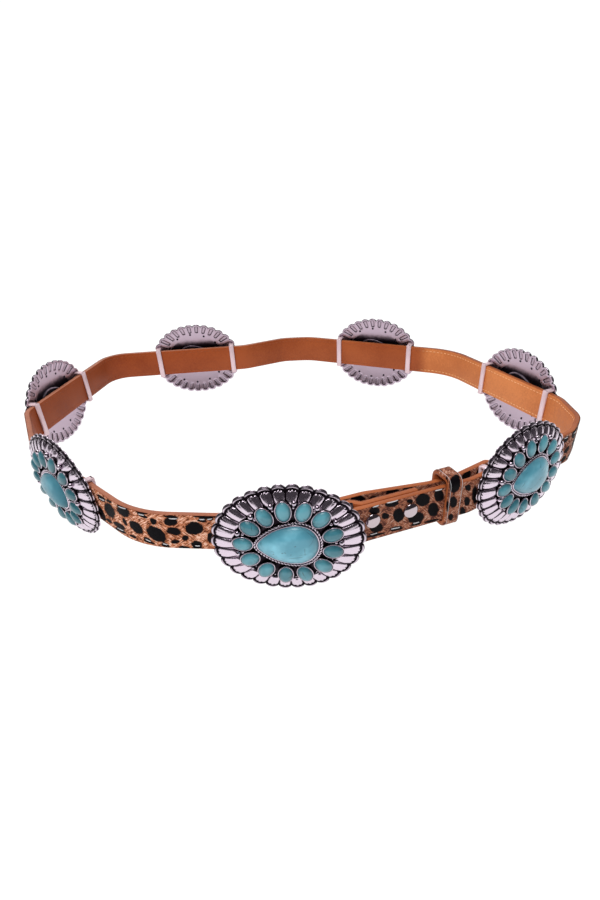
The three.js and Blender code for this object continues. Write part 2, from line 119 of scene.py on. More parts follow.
def setInputs(node, values):
    for key, value in values.items():
        node.inputs[key].default_value = value


def makeFloor():
    half, start, radius, steps = studio["floorHalf"], studio["sweepFrom"], studio["sweepRadius"], 12
    profile = [(-half, 0.0), (start, 0.0)]
    for step in range(1, steps + 1):  # the sweep up to the backdrop
        angle = step / steps * math.pi / 2
        profile.append((start + radius * math.sin(angle), radius * (1 - math.cos(angle))))
    profile.append((start + radius, studio["backdropHeight"]))
    points = [(x, y, z) for x in (-half, half) for y, z in profile]
    count = len(profile)
    faces = [(i, count + i, count + i + 1, i + 1) for i in range(count - 1)]
    data = bpy.data.meshes.new("paperSweep")
    data.from_pydata(points, [], faces)
    data.shade_smooth()
    material, tree, surface = nodeMaterial("whitePaper")
    # a light table: white all round, with faint shadows
    setInputs(surface, {"Base Color": (*studio["floorShade"], 1), "Roughness": 0.9, "Specular IOR Level": 0.0,
                        "Emission Color": (1, 1, 1, 1), "Emission Strength": studio["floorGlow"]})
    data.materials.append(material)
    item = bpy.data.objects.new("paperSweep", data)
    scene.collection.objects.link(item)


makeCamera()
for lightName in ("topLight", "sideLight"):
    makeLight(lightName, studio[lightName])
makeFloor()
world = bpy.data.worlds.new("studio")
world.use_nodes = True
world.node_tree.nodes["Background"].inputs["Color"].default_value = (*studio["ambient"], 1)
scene.world = world
scene.view_settings.view_transform = "Standard"
print("camera, lights and paper set")

# ---- finishes

finishes = {
    "silver": {"clean": (0.69, 0.59, 0.68), "tarnishedAndShaded": (0.016, 0.010, 0.016), "rough": 0.23, "dullRough": 0.5},
    "silverBack": {
        "clean": (0.57, 0.46, 0.55), "tarnishedAndShaded": (0.045, 0.033, 0.05), "rough": 0.42, "dullRough": 0.6,
    },
    "turquoise": {"pale": (0.105, 0.32, 0.385), "deep": (0.045, 0.175, 0.22), "vein": (0.03, 0.06, 0.06)},
    "pear": {"pale": (0.21, 0.54, 0.66), "deep": (0.09, 0.31, 0.405), "vein": (0.04, 0.07, 0.08)},
    # the lining's left colours are painted shade and its right colours painted light
    "lining": {
        "pale": (0.335, 0.070, 0.018), "deep": (0.24, 0.043, 0.010),
        "paleRight": (0.67, 0.228, 0.073), "deepRight": (0.49, 0.145, 0.042),
        "firstShare": 0.13, "turnsFrom": (0.105, 0.115),
    },
    "edge": {
        "pale": (0.43, 0.167, 0.100), "deep": (0.30, 0.096, 0.048),
        "paleRight": (0.40, 0.114, 0.037), "deepRight": (0.27, 0.064, 0.018),
        "firstShare": 0.1, "turnsFrom": (-0.02, 0.03),
    },
    "hide": {
        "pale": (0.90, 0.58, 0.44), "tan": (0.52, 0.178, 0.082), "deep": (0.085, 0.022, 0.010),
        "black": (0.003, 0.002, 0.003), "shaded": (0.09, 0.037, 0.038),
    },
    "thread": {"pale": (0.86, 0.46, 0.21), "deep": (0.31, 0.072, 0.020), "turnsFrom": (0.105, 0.115)},
}


def addNode(tree, kind, **values):
    node = tree.nodes.new(kind)
    for key, value in values.items():
        setattr(node, key, value)
    return node


def mixColours(tree, factor, first, second):
    mix = addNode(tree, "ShaderNodeMix", data_type="RGBA")
    colourA, colourB, mixedColour = 6, 7, 2  # the colour sockets among those of the other kinds
    tree.links.new(factor, mix.inputs["Factor"])
    for socket, value in ((mix.inputs[colourA], first), (mix.inputs[colourB], second)):
        if isinstance(value, tuple):
            socket.default_value = (*value, 1)
        else:
            tree.links.new(value, socket)
    return mix.outputs[mixedColour]


def noiseOf(tree, vector, scale, detail=3.0, roughness=0.55):
    noise = addNode(tree, "ShaderNodeTexNoise")
    setInputs(noise, {"Scale": scale, "Detail": detail, "Roughness": roughness})
    tree.links.new(vector, noise.inputs["Vector"])
    return noise.outputs["Fac"]


def band(tree, value, low, high, lowOut=0.0, highOut=1.0):
    node = addNode(tree, "ShaderNodeMapRange", interpolation_type="SMOOTHSTEP")
    tree.links.new(value, node.inputs["Value"])
    setInputs(node, {"From Min": low, "From Max": high, "To Min": lowOut, "To Max": highOut})
    return node.outputs["Result"]


def combine(tree, operation, first, second):
    node = addNode(tree, "ShaderNodeMath", operation=operation)
    for socket, value in ((node.inputs[0], first), (node.inputs[1], second)):
        if isinstance(value, (int, float)):
            socket.default_value = value
        else:
            tree.links.new(value, socket)
    return node.outputs[0]


def product(tree, first, second):
    return combine(tree, "MULTIPLY", first, second)


def total(tree, first, second):
    return combine(tree, "ADD", first, second)


def swing(tree, noise, amount):
    # a noise as a push to both sides of none
    return product(tree, combine(tree, "SUBTRACT", noise, 0.5), amount)


def addBump(tree, surface, height, strength, distance):
    bump = addNode(tree, "ShaderNodeBump")
    setInputs(bump, {"Strength": strength, "Distance": distance})
    tree.links.new(height, bump.inputs["Height"])
    tree.links.new(bump.outputs["Normal"], surface.inputs["Normal"])


def positionOf(tree):
    return addNode(tree, "ShaderNodeNewGeometry").outputs["Position"]


def attributeOf(tree, name, output="Fac"):
    return addNode(tree, "ShaderNodeAttribute", attribute_name=name).outputs[output]


def acrossBelt(tree, low, high, leftOut=0.0, rightOut=1.0):
    # turns from the belt's left to its right between two places, in metres
    split = addNode(tree, "ShaderNodeSeparateXYZ")
    tree.links.new(positionOf(tree), split.inputs[0])
    return band(tree, split.outputs["X"], low, high, leftOut, rightOut)


pearCracks = [  # across the front pear, in millimetres from its middle: both ends and half width
    (0.5, -4.9, 6.6, -4.1, 0.16), (7.8, 0.4, 7.8, -3.3, 0.14), (5.2, -3.2, 8.4, -2.6, 0.10),
    (3.4, 1.9, 3.7, 2.1, 0.3), (-2.6, -1.6, -2.2, -1.5, 0.32), (-1.4, -1.2, -1.0, -1.6, 0.25),
    (-6.8, -2.6, -6.5, -2.4, 0.28), (-7.4, -0.8, -6.2, -1.2, 0.12), (1.2, -2.6, 1.5, -2.4, 0.22),
]


def silverMaterial(name, finish):
    material, tree, surface = nodeMaterial(name)
    place = positionOf(tree)
    # the mark darkens the metal: antiquing in its hollows, and painted shade in the back's hollow above the strap
    # and on the buckle's bail
    tarnishAndShade = total(tree, attributeOf(tree, "tarnishAndShade"), swing(tree, noiseOf(tree, place, 260, 4), 0.35))
    factor = band(tree, tarnishAndShade, 0.12, 0.72)
    colour = mixColours(tree, factor, finish["clean"], finish["tarnishedAndShaded"])
    tree.links.new(colour, surface.inputs["Base Color"])
    setInputs(surface, {"Metallic": 1.0})
    tree.links.new(band(tree, factor, 0, 1, finish["rough"], finish["dullRough"]), surface.inputs["Roughness"])
    addBump(tree, surface, noiseOf(tree, place, 900, 2), 0.12, 0.0001)
    return material


def crackLine(tree, place, x0, y0, x1, y1, width):
    # 1 on a thin straight line across the stone's face, 0 away from it
    length = math.hypot(x1 - x0, y1 - y0)
    wayX, wayY = (x1 - x0) / length, (y1 - y0) / length
    centred = addNode(tree, "ShaderNodeVectorMath", operation="SUBTRACT")
    tree.links.new(place, centred.inputs[0])
    setInputs(centred, {1: ((x0 + x1) / 2, (y0 + y1) / 2, 0)})
    reaches = []
    for way in ((wayX, wayY, 0), (-wayY, wayX, 0)):
        dot = addNode(tree, "ShaderNodeVectorMath", operation="DOT_PRODUCT")
        tree.links.new(centred.outputs[0], dot.inputs[0])
        setInputs(dot, {1: way})
        reaches.append(combine(tree, "ABSOLUTE", dot.outputs["Value"], 0))
    beyond = combine(tree, "SUBTRACT", reaches[0], length / 2)
    return band(tree, combine(tree, "MAXIMUM", beyond, reaches[1]), 0.3 * width, width, 1.0, 0.0)


def stoneMaterial(name, finish, cracks=(), shine=0.5):
    material, tree, surface = nodeMaterial(name)
    place = positionOf(tree)
    cloud = noiseOf(tree, place, 70, 3)
    colour = mixColours(tree, band(tree, cloud, 0.38, 0.64), finish["deep"], finish["pale"])
    # veins run along the borders of cells whose places a noise pushes about
    warp = addNode(tree, "ShaderNodeTexNoise")
    push = addNode(tree, "ShaderNodeVectorMath", operation="SCALE")
    wobble = addNode(tree, "ShaderNodeVectorMath", operation="ADD")
    cells = addNode(tree, "ShaderNodeTexVoronoi", feature="DISTANCE_TO_EDGE")
    for node, scale in ((warp, 160), (push, 0.006), (cells, 95)):
        setInputs(node, {"Scale": scale})
    for output, socket in (
        (place, warp.inputs["Vector"]), (warp.outputs["Color"], push.inputs[0]), (place, wobble.inputs[0]),
        (push.outputs[0], wobble.inputs[1]), (wobble.outputs[0], cells.inputs["Vector"]),
    ):
        tree.links.new(output, socket)
    line = band(tree, cells.outputs["Distance"], 0.0, 0.022, 1.0, 0.0)
    patch = band(tree, noiseOf(tree, place, 120, 2), 0.52, 0.62)
    vein = product(tree, product(tree, line, patch), 0.7)
    flat = attributeOf(tree, "onStone", "Vector")
    for crack in cracks:
        vein = combine(tree, "MAXIMUM", vein, product(tree, crackLine(tree, flat, *crack), 0.75))
    # painted shade: the stones at the belt's left, and the edge of each stone, are darkened
    shadow = tuple(channel * 0.45 for channel in finish["deep"])
    colour = mixColours(tree, acrossBelt(tree, -0.115, -0.07, 0.55, 0.0), colour, shadow)
    girdle = product(tree, band(tree, attributeOf(tree, "girdle"), 0.55, 1.05), 0.55)
    colour = mixColours(tree, girdle, colour, shadow)
    tree.links.new(mixColours(tree, vein, colour, finish["vein"]), surface.inputs["Base Color"])
    setInputs(surface, {"Roughness": 0.28, "Coat Roughness": 0.15})
    setInputs(surface, {"Specular IOR Level": shine, "Coat Weight": shine / 2})
    addBump(tree, surface, line, 0.05, 0.0001)
    return material


def leatherMaterial(name, finish, grain):
    material, tree, surface = nodeMaterial(name)
    place = positionOf(tree)
    cloud = noiseOf(tree, place, 22, 4)
    fine = noiseOf(tree, place, grain, 5, 0.7)
    shade = band(tree, total(tree, product(tree, cloud, 0.6), product(tree, fine, 0.4)), 0.36, 0.64)
    # the colours turn from the belt's left to its right; on the lining this is painted light and shade
    left = mixColours(tree, shade, finish["deep"], finish["pale"])
    right = mixColours(tree, shade, finish["deepRight"], finish["paleRight"])
    slowly = product(tree, acrossBelt(tree, -0.10, 0.03), finish["firstShare"])
    quickly = product(tree, acrossBelt(tree, *finish["turnsFrom"]), 1 - finish["firstShare"])
    tree.links.new(mixColours(tree, total(tree, slowly, quickly), left, right), surface.inputs["Base Color"])
    tree.links.new(band(tree, fine, 0.3, 0.7, 0.42, 0.62), surface.inputs["Roughness"])
    setInputs(surface, {"Specular IOR Level": 0.2})
    addBump(tree, surface, fine, 0.2, 0.0003)
    return material


def hideMaterial():
    material, tree, surface = nodeMaterial("spottedHide")
    finish = finishes["hide"]
    lay = attributeOf(tree, "lay", "Vector")
    strands = []
    for lean in (-0.6, 0.75):  # hairs lie two ways across each other
        stretch = addNode(tree, "ShaderNodeMapping", vector_type="TEXTURE")
        setInputs(stretch, {"Scale": (2.6, 0.55, 1.0), "Rotation": (0, 0, lean)})
        tree.links.new(lay, stretch.inputs["Vector"])
        strands.append(noiseOf(tree, stretch.outputs[0], 1.0, 3, 0.6))
    cloud = noiseOf(tree, lay, 0.25, 3)
    patch = band(tree, noiseOf(tree, lay, 0.16, 2), 0.42, 0.58)
    otherPatch = combine(tree, "SUBTRACT", 1.0, patch)
    hairs = total(tree, product(tree, strands[0], patch), product(tree, strands[1], otherPatch))
    # painted shade: the hide on the belt's right is darker and cooler
    right = acrossBelt(tree, -0.01, 0.02)
    shade = total(tree, product(tree, cloud, 0.3), product(tree, hairs, 0.7))
    shade = combine(tree, "SUBTRACT", shade, product(tree, right, 0.018))
    fur = mixColours(tree, band(tree, shade, 0.41, 0.50), finish["deep"], finish["tan"])
    fur = mixColours(tree, band(tree, shade, 0.50, 0.60), fur, finish["pale"])
    fur = mixColours(tree, product(tree, right, 0.42), fur, finish["shaded"])
    ragged = swing(tree, noiseOf(tree, lay, 0.5, 3), 1.6)
    field = total(tree, attributeOf(tree, "spotField"), total(tree, ragged, swing(tree, hairs, 1.2)))
    colour = mixColours(tree, band(tree, field, -0.2, 0.2), fur, finish["black"])
    tree.links.new(colour, surface.inputs["Base Color"])
    setInputs(surface, {"Roughness": 0.6, "Specular IOR Level": 0.06})
    addBump(tree, surface, hairs, 0.6, 0.0004)
    return material


def plainMaterial(name, colour, roughness, metallic=0.0, wear=0.12):
    material, tree, surface = nodeMaterial(name)
    cloud = noiseOf(tree, positionOf(tree), 400, 3)
    darker = tuple(channel * (1 - wear * 2) for channel in colour)
    tree.links.new(mixColours(tree, cloud, darker, colour), surface.inputs["Base Color"])
    setInputs(surface, {"Roughness": roughness, "Metallic": metallic})
    return material


def threadMaterial():
    # painted shade: the thread is darkened on the belt's left, where it blends into the shaded lining, and is paler
    # than the lining on the right
    material, tree, surface = nodeMaterial("tanThread")
    finish = finishes["thread"]
    colour = mixColours(tree, acrossBelt(tree, *finish["turnsFrom"]), finish["deep"], finish["pale"])
    tree.links.new(colour, surface.inputs["Base Color"])
    setInputs(surface, {"Roughness": 0.7})
    return material


silver = silverMaterial("antiquedSilver", finishes["silver"])
silverBack = silverMaterial("plainSilverBack", finishes["silverBack"])
smallTurquoise = stoneMaterial("smallTurquoise", finishes["turquoise"])
pearTurquoise = stoneMaterial("pearTurquoise", finishes["pear"])
# seen edge on, so without a pale shine
sidePearTurquoise = stoneMaterial("sidePearTurquoise", finishes["pear"], (), 0.1)
frontPearTurquoise = stoneMaterial("frontPearTurquoise", finishes["pear"], pearCracks)
liningLeather = leatherMaterial("tanLining", finishes["lining"], 700)
edgeLeather = leatherMaterial("cutEdge", finishes["edge"], 500)
spottedHide = hideMaterial()
barSilver = plainMaterial("barSilver", (0.82, 0.62, 0.66), 0.5, 0.3, 0.05)
chrome = plainMaterial("snapChrome", (0.53, 0.45, 0.48), 0.09, 1.0, 0.03)
tanThread = threadMaterial()
greyThread = plainMaterial("greyThread", (0.62, 0.60, 0.62), 0.35)
print("finishes mixed")

# ---- shapes: every one is a pair of points in millimetres and faces


def gridShape(rows, wrap=True, capStart=False, capEnd=False):
    rows = np.asarray(rows, float)
    count, width = rows.shape[:2]
    index = np.arange(count * width).reshape(count, width)
    nextColumn = np.roll(index, -1, axis=1) if wrap else index[:, 1:]
    here = index if wrap else index[:, :-1]
    faces = np.stack([here[:-1], nextColumn[:-1], nextColumn[1:], here[1:]], -1).reshape(-1, 4).tolist()
    if capStart:
        faces.append(index[0][::-1].tolist())
    if capEnd:
        faces.append(index[-1].tolist())
    return rows.reshape(-1, 3), faces


def joinShapes(shapes):
    points, faces, marks, start = [], [], [], 0
    for shape in shapes:
        more, moreFaces = shape[0], shape[1]
        points.append(more)
        faces += [[corner + start for corner in face] for face in moreFaces]
        marks.append(shape[2] if len(shape) > 2 else np.zeros(len(more)))
        start += len(more)
    return np.concatenate(points), faces, np.concatenate(marks)


def makeMesh(name, points, faces, material, marks=None, sharp=None):
    data = bpy.data.meshes.new(name)
    data.from_pydata((np.asarray(points) * mm).tolist(), [], faces)
    data.shade_smooth()
    for key, values in (marks or {}).items():
        values = np.asarray(values, np.float32)
        kind = "FLOAT_VECTOR" if values.ndim == 2 else "FLOAT"
        layer = data.attributes.new(key, kind, "POINT")
        layer.data.foreach_set("vector" if values.ndim == 2 else "value", values.ravel())
    data.materials.append(material)
    if sharp is not None:
        data.set_sharp_from_angle(angle=math.radians(sharp))
    return data


def placeShapes(name, shapes, material, matrix=None):
    placePiece(name, makeMesh(name, *joinShapes(shapes)[:2], material), matrix)


def placePiece(name, data, matrix=None, instead=()):
    item = bpy.data.objects.new(name, data)
    if matrix is not None:
        item.matrix_world = matrix
    scene.collection.objects.link(item)
    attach(item, "root")
    if instead:
        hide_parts(*instead)
    return item


def smoothStep(low, high, value):
    share = np.clip((value - low) / (high - low), 0, 1)
    return share * share * (3 - 2 * share)


def fullTurn(sides):
    return np.arange(sides) / sides * 2 * math.pi


def ringRow(x, y, height, halves, turns):
    # one oval ring of points, flat at a height
    return np.stack([x + halves[0] * np.cos(turns), y + halves[1] * np.sin(turns), np.full(len(turns), height)], -1)


def roundRow(x, y, height, radius, sides):
    return ringRow(x, y, height, (radius, radius), fullTurn(sides))


def alongLine(points):
    # how far each point lies along a broken line from its first
    return np.concatenate([[0], np.cumsum(np.linalg.norm(np.diff(points, axis=0), axis=1))])


def ballShape(centre, radius, sides=10, rings=6):
    x, y, height = centre
    rows = []
    for ring in range(rings + 1):
        lift = -math.pi / 2 + math.pi * ring / rings
        rows.append(roundRow(x, y, height + radius * math.sin(lift), max(math.cos(lift), 0.02) * radius, sides))
    return gridShape(rows, capStart=True, capEnd=True)


def boxShape(low, high, r):
    # a bar with rounded edges: an eight-sided section drawn out along y, with tapered ends
    (x0, y0, z0), (x1, y1, z1) = low, high
    section = [(x0 + r, z0), (x1 - r, z0), (x1, z0 + r), (x1, z1 - r),
               (x1 - r, z1), (x0 + r, z1), (x0, z1 - r), (x0, z0 + r)]
    middleX, middleZ = (x0 + x1) / 2, (z0 + z1) / 2
    rows = []
    for y, shrink in ((y0, r), (y0 + r, 0), (y1 - r, 0), (y1, r)):
        rows.append([(x - math.copysign(shrink, x - middleX), y, z - math.copysign(shrink, z - middleZ))
                     for x, z in section])
    return gridShape(rows, capStart=True, capEnd=True)


# ---- the strap's route, seen from above

strap = {
    "width": 19.7,
    "thickness": 3.3,
    "hairDepth": 0.35,
    "loopWidth": 347.0,
    "loopDepth": 268.0,
    "bend": 20.0,
    "zero": (1.751, -126.081),
    "middle": 28.1,
    "fineStep": 0.8,
    "corners": [  # across, back, bend, slide, lean
        (-0.208, 0.021, 2.5, 0.81, 0.0),
        (-0.431, 0.304, 0.9, None, 0.0),
        (-0.5, 0.491, 0.75, 0.04, 0.0),
        (-0.433, 0.903, 0.9, 0.84, 0.0),
        (-0.114, 0.94, 1.2, None, 0.0),
        (-0.019, 0.998, 1.0, None, 0.0),
        (0.044, 0.999, 1.5, 0.54, 0.0),
        (0.369, 0.812, 2.0, 0.86, 0.0),
        (0.5, 0.437, 1.0, None, 0.0),
        (0.5, 0.334, 1.0, None, 0.0),
        (0.469, 0.27, 0.75, 0.79, 4.5),
        (0.266, 0.088, 1.0, None, 0.0),
    ],
}
bars = {
    "spacing": 60.5, "width": 3.7, "thickness": 1.6, "leg": 1.4, "strapBehindRim": 1.0, "gap": 0.3,
    "closer": {1: 10.0, 6: 10.0},  # those of the first and the last concho stand this much nearer each other
}
buckle = {
    "across": 0.003, "turn": -1.9, "lean": 4.0, "standoff": 8.1, "bailAt": 30.0, "bailInset": 1.2, "bailBar": 2.6,
    "bailLeg": 0.7, "hookAt": -20.0, "hookDiameter": 3.6, "hookHead": 6.0, "hookHeadThickness": 1.2,
}
fold = {"gap": 0.4, "taper": 5.0, "taperBend": 3.0, "snaps": (9.3, 30.0), "snapRaise": 2.0, "pastSnap": 6.0}
keeper = {
    "station": 53.2, "width": 8.6, "thickness": 2.4, "round": 4.6, "raise": 1.0,
    "slack": 2.6, "clearance": 0.7, "headroom": 2.1, "hairsFrom": 400.0,
}
tail = {"slackAt": 11.0, "pastKeeper": 4.0, "tipAt": 34.0, "tipLength": 14.0, "pastHook": 15.0}


def direction(angle):
    return np.array([math.cos(angle), math.sin(angle)])


class Seat:
    def __init__(self, origin, turn):
        self.origin = np.array(origin, float)
        self.turn = turn
        self.right = direction(turn)
        self.outward = np.array([math.sin(turn), -math.cos(turn)])

    def at(self, along, out=0.0):
        return self.origin + self.right * along + self.outward * out

    def matrix(self, out=0.0, lift=0.0, lean=0.0):
        x, y = self.at(0, out) + np.array(strap["zero"])
        return (Matrix.Translation(Vector((x, y, strap["middle"] + lift)) * mm)
                @ Matrix.Rotation(self.turn, 4, "Z") @ Matrix.Rotation(math.pi / 2 - lean, 4, "X"))


def turnBetween(into, away):
    return math.atan2(into[0] * away[1] - into[1] * away[0], float(np.dot(into, away)))


def crossing(pointA, wayA, pointB, wayB):
    gap = pointB - pointA
    reach = (gap[0] * wayB[1] - gap[1] * wayB[0]) / (wayA[0] * wayB[1] - wayA[1] * wayB[0])
    return pointA + wayA * reach


def unit(vector):
    return vector / np.linalg.norm(vector)


def bendReach(before, corner, after, radius):
    return radius * math.tan(abs(turnBetween(unit(corner - before), unit(after - corner))) / 2)


loopPoints = [np.array([row[0] * strap["loopWidth"], row[1] * strap["loopDepth"]]) for row in strap["corners"]]
buckleSeat = Seat((buckle["across"] * strap["loopWidth"], 0), math.radians(buckle["turn"]))
keeperCorner = loopPoints[-1]
foldStart = buckleSeat.at(buckle["bailAt"], -buckle["bailInset"])
foldWay = keeperCorner - foldStart
foldSeat = Seat(foldStart, math.atan2(foldWay[1], foldWay[0]))
foldRadius = buckle["bailBar"] * math.sqrt(0.5) + bars["gap"]


def strapCorners():
    thickness = strap["thickness"]
    foldInset = 2 * foldRadius + thickness + fold["gap"] + thickness
    keeperInset = thickness + keeper["slack"]
    lean = math.radians(strap["corners"][-2][4])
    hiddenInset = strap["width"] * math.tan(lean) + bars["gap"] * 2 + bars["thickness"] + fold["gap"] + thickness
    heading = unit(keeperCorner - loopPoints[-2])
    side = Seat(keeperCorner, math.atan2(-heading[1], -heading[0]))
    beforeKeeper = keeper["station"] - keeper["width"] / 2 - tail["pastKeeper"]
    bend = strap["bend"]
    corners = [
        (side.at(tail["tipAt"], -hiddenInset), 0),
        (crossing(side.at(0, -hiddenInset), side.right, foldSeat.at(0, -keeperInset), foldSeat.right), bend),
        (foldSeat.at(beforeKeeper, -keeperInset), bend),
        (foldSeat.at(tail["slackAt"], -foldInset), bend),
        (crossing(foldSeat.at(0, -foldInset), foldSeat.right, buckleSeat.origin, buckleSeat.right), bend),
        (buckleSeat.at(buckle["hookAt"] - tail["pastHook"], 0), bend),
    ]
    corners += [(point, row[2] * bend) for point, row in zip(loopPoints, strap["corners"])]
    rise = foldRadius - fold["gap"]
    slant = math.atan2(rise, fold["taper"]) + math.asin(foldRadius / math.hypot(fold["taper"], rise))
    reach = foldRadius * math.tan(math.pi / 4 + slant / 2)
    corners += [
        (foldSeat.at(-foldRadius), foldRadius),
        (foldSeat.at(-foldRadius, -foldRadius - reach), foldRadius),
        (foldSeat.at(fold["taper"], -fold["gap"]), fold["taperBend"]),
        (foldSeat.at(fold["snaps"][-1] + fold["pastSnap"], -fold["gap"]), 0),
    ]
    return corners


corners = strapCorners()


def roundedRoute():
    places, outwards = [], []

    def add(point, way):
        if places and np.linalg.norm(places[-1] - point) < 0.01:
            return
        places.append(point)
        outwards.append(np.array([-way[1], way[0]]))

    add(corners[0][0], unit(corners[1][0] - corners[0][0]))
    for i in range(1, len(corners) - 1):
        point, bend = corners[i]
        into = unit(point - corners[i - 1][0])
        away = unit(corners[i + 1][0] - point)
        turn = turnBetween(into, away)
        start = point - into * bendReach(corners[i - 1][0], point, corners[i + 1][0], bend)
        centre = start + np.array([-into[1], into[0]]) * math.copysign(bend, turn)
        steps = max(3, math.ceil(abs(turn) / math.radians(4)))
        for k in range(steps + 1):
            c, s = math.cos(turn * k / steps), math.sin(turn * k / steps)
            spin = np.array([[c, -s], [s, c]])
            add(centre + spin @ (start - centre), spin @ into)
    add(corners[-1][0], unit(corners[-1][0] - corners[-2][0]))
    return np.array(places), np.array(outwards)


routePlaces, routeOutwards = roundedRoute()
routeReach = alongLine(routePlaces)
routeLength = routeReach[-1]


def routeAt(distances):
    place = np.stack([np.interp(distances, routeReach, routePlaces[:, k]) for k in (0, 1)], -1)
    out = np.stack([np.interp(distances, routeReach, routeOutwards[:, k]) for k in (0, 1)], -1)
    return place, out / np.linalg.norm(out, axis=1, keepdims=True)


def strapPoint(distances, out, height):
    place, outward = routeAt(distances)
    flat = place + outward * np.asarray(out)[..., None] + np.array(strap["zero"])
    return np.concatenate([flat, (strap["middle"] + np.asarray(height) * np.ones(len(flat)))[:, None]], 1)


def conchoSeats():
    first = next(i for i, (point, bend) in enumerate(corners) if point is loopPoints[0])
    halfSpan = (bars["spacing"] + bars["width"]) / 2
    seats = []
    for i, (across, back, bend, slide, lean) in enumerate(strap["corners"]):
        if slide is None:  # no concho on this side
            continue
        (before, _), (start, startBend), (end, endBend), (after, _) = corners[first + i - 1:first + i + 3]
        side = end - start
        length = np.linalg.norm(side)
        startReach = bendReach(before, start, end, startBend)
        freeRun = length - startReach - bendReach(start, end, after, endBend) - 2 * halfSpan
        origin = start + side * (startReach + halfSpan + slide * freeRun) / length
        seats.append((Seat(origin, math.atan2(-side[1], -side[0])), math.radians(lean)))
    return seats


print("strap route laid,", round(routeLength), "mm long")

# ---- spots of the hide

# read from the photograph, in its pixels: centre, half length, half height, tilt downwards to the right
seenSpots = [
    (101.7, 513.3, 9, 2.2, 65), (109.6, 510.4, 8.5, 4.2, 60), (123.3, 511.3, 7.5, 4.3, 40),
    (109.2, 520.8, 3.5, 1.4, 40), (119.2, 525.4, 6.5, 2.2, 30), (124.8, 521.7, 4.2, 1.6, 60),
    (136.3, 527.5, 8.5, 4.2, 45), (156.3, 534.2, 11.5, 6.2, 33), (153.3, 521.3, 3.8, 2.9, 40),
    (170.4, 521.7, 7.2, 4.2, 0), (173.8, 531.3, 7.5, 3.8, 10), (175, 541.7, 4.3, 2.1, 0),
    (185.2, 537.9, 3.3, 3, 0), (194.2, 528.3, 9, 6.6, 0), (196.3, 544.2, 5.4, 3.4, 0), (210.4, 537.5, 3, 5.5, 0),
    (374.2, 510.8, 5.8, 3.6, -10), (376.4, 527.7, 7, 4.7, -10), (385.3, 515.9, 3.7, 3, 0),
    (391.6, 503.5, 7, 3.6, -10), (398.5, 515.1, 5.6, 6.9, 0), (410, 501.4, 3, 2.2, 0),
    (415.9, 517.7, 8.4, 5.4, -15), (422.7, 499.8, 7.5, 6.1, -20), (433.3, 509.8, 5.4, 7, 10),
    (439, 495.6, 4.9, 6.2, 0), (468, 487.7, 2.8, 3.6, 0), (467, 501.4, 2.8, 4.6, 0), (475, 495, 3, 9, 0),
    (462.5, 511, 3, 4, 0), (357, 520, 3, 6, 0), (362, 538, 5, 3, -15),
]
seenGrooveShade = [  # painted shade: black lines in the grooves beside the stitches, both ends
    (96.7, 494.6, 105, 499.6), (106.7, 500, 111.3, 502.5), (117, 504.4, 130, 508.8), (134.2, 510.2, 147.5, 513.6),
    (140, 515.5, 147, 517.4), (162.5, 516.2, 177.5, 516.8), (194.2, 516.6, 216, 516.8), (198, 520.6, 207, 521.4),
    (115.4, 528, 125.8, 533.4), (129.6, 534.8, 136.3, 537.8), (143.3, 539.8, 155, 544), (144, 537.6, 150, 540),
    (161.7, 545, 169.2, 546.4), (178.3, 546.9, 189.2, 547.6), (192, 547.3, 202, 547.3), (390, 530.6, 402, 528.2),
    (411, 525.2, 421, 522.8), (424, 522.6, 438, 519.4), (367, 537, 384, 533), (434, 490, 444, 487.2),
    (366, 506, 374, 504.4),
]
seenStitches = [
    (98.5, 497.6, 104.5, 500.8), (117.5, 505.9, 126.3, 508.9), (138, 513.8, 144.2, 515.6),
    (168.3, 518.5, 177.5, 518.8), (198.8, 519.2, 205, 519.3), (207, 519.2, 213, 518.8), (117, 527.3, 124, 530.8),
    (145, 539, 151.7, 541.6), (162, 543.8, 168, 545), (194.6, 545.4, 200.5, 545.6), (386.4, 503.2, 398.5, 500.3),
    (390, 529.4, 401, 527), (412.7, 523.5, 420, 522), (434.8, 491.4, 442.7, 488.9), (372, 507, 379, 505.2),
    (370, 535, 378, 533),
]
keeperSpots = [
    (454.9, 483.7, 5.6, 9.2, 8), (453.3, 502, 3.6, 6.2, 0), (447.5, 505.6, 1.3, 5.8, 0), (450.6, 517.2, 2.8, 3.4, 0),
    (460.7, 515, 1.8, 4.4, 0), (453.6, 470.6, 5, 1.3, 32), (446.8, 480, 1.2, 4, 0),
]
hideSpots = {
    "pitch": 8.6,
    "rows": (-6.3, 0.0, 6.3),
    "sizes": (1.3, 2.2, 2.9, 3.5, 3.9),
    "chance": 7,
    "grooveShadeHalfHeight": 1.3,
    "stitchShadeHalfHeight": 1.7,
    "pixelsPerMm": 2.0,
}


def scatterSpots(start, end, seenZones):
    chance = random.Random(hideSpots["chance"])
    pitch, spots = hideSpots["pitch"], []
    for column in range(int((end - start) / pitch) + 2):
        for row, rise in enumerate(hideSpots["rows"]):
            along = start + (column + 0.5 * (row % 2)) * pitch + chance.uniform(-2, 2)
            height = rise + chance.uniform(-1.3, 1.3)
            size = chance.choice(hideSpots["sizes"])
            spot = (along, height, size * chance.uniform(0.95, 1.3), size * chance.uniform(0.65, 0.9),
                    chance.uniform(-35, 35))
            if not any(low < along < high for low, high in seenZones):
                spots.append(spot)
    return spots


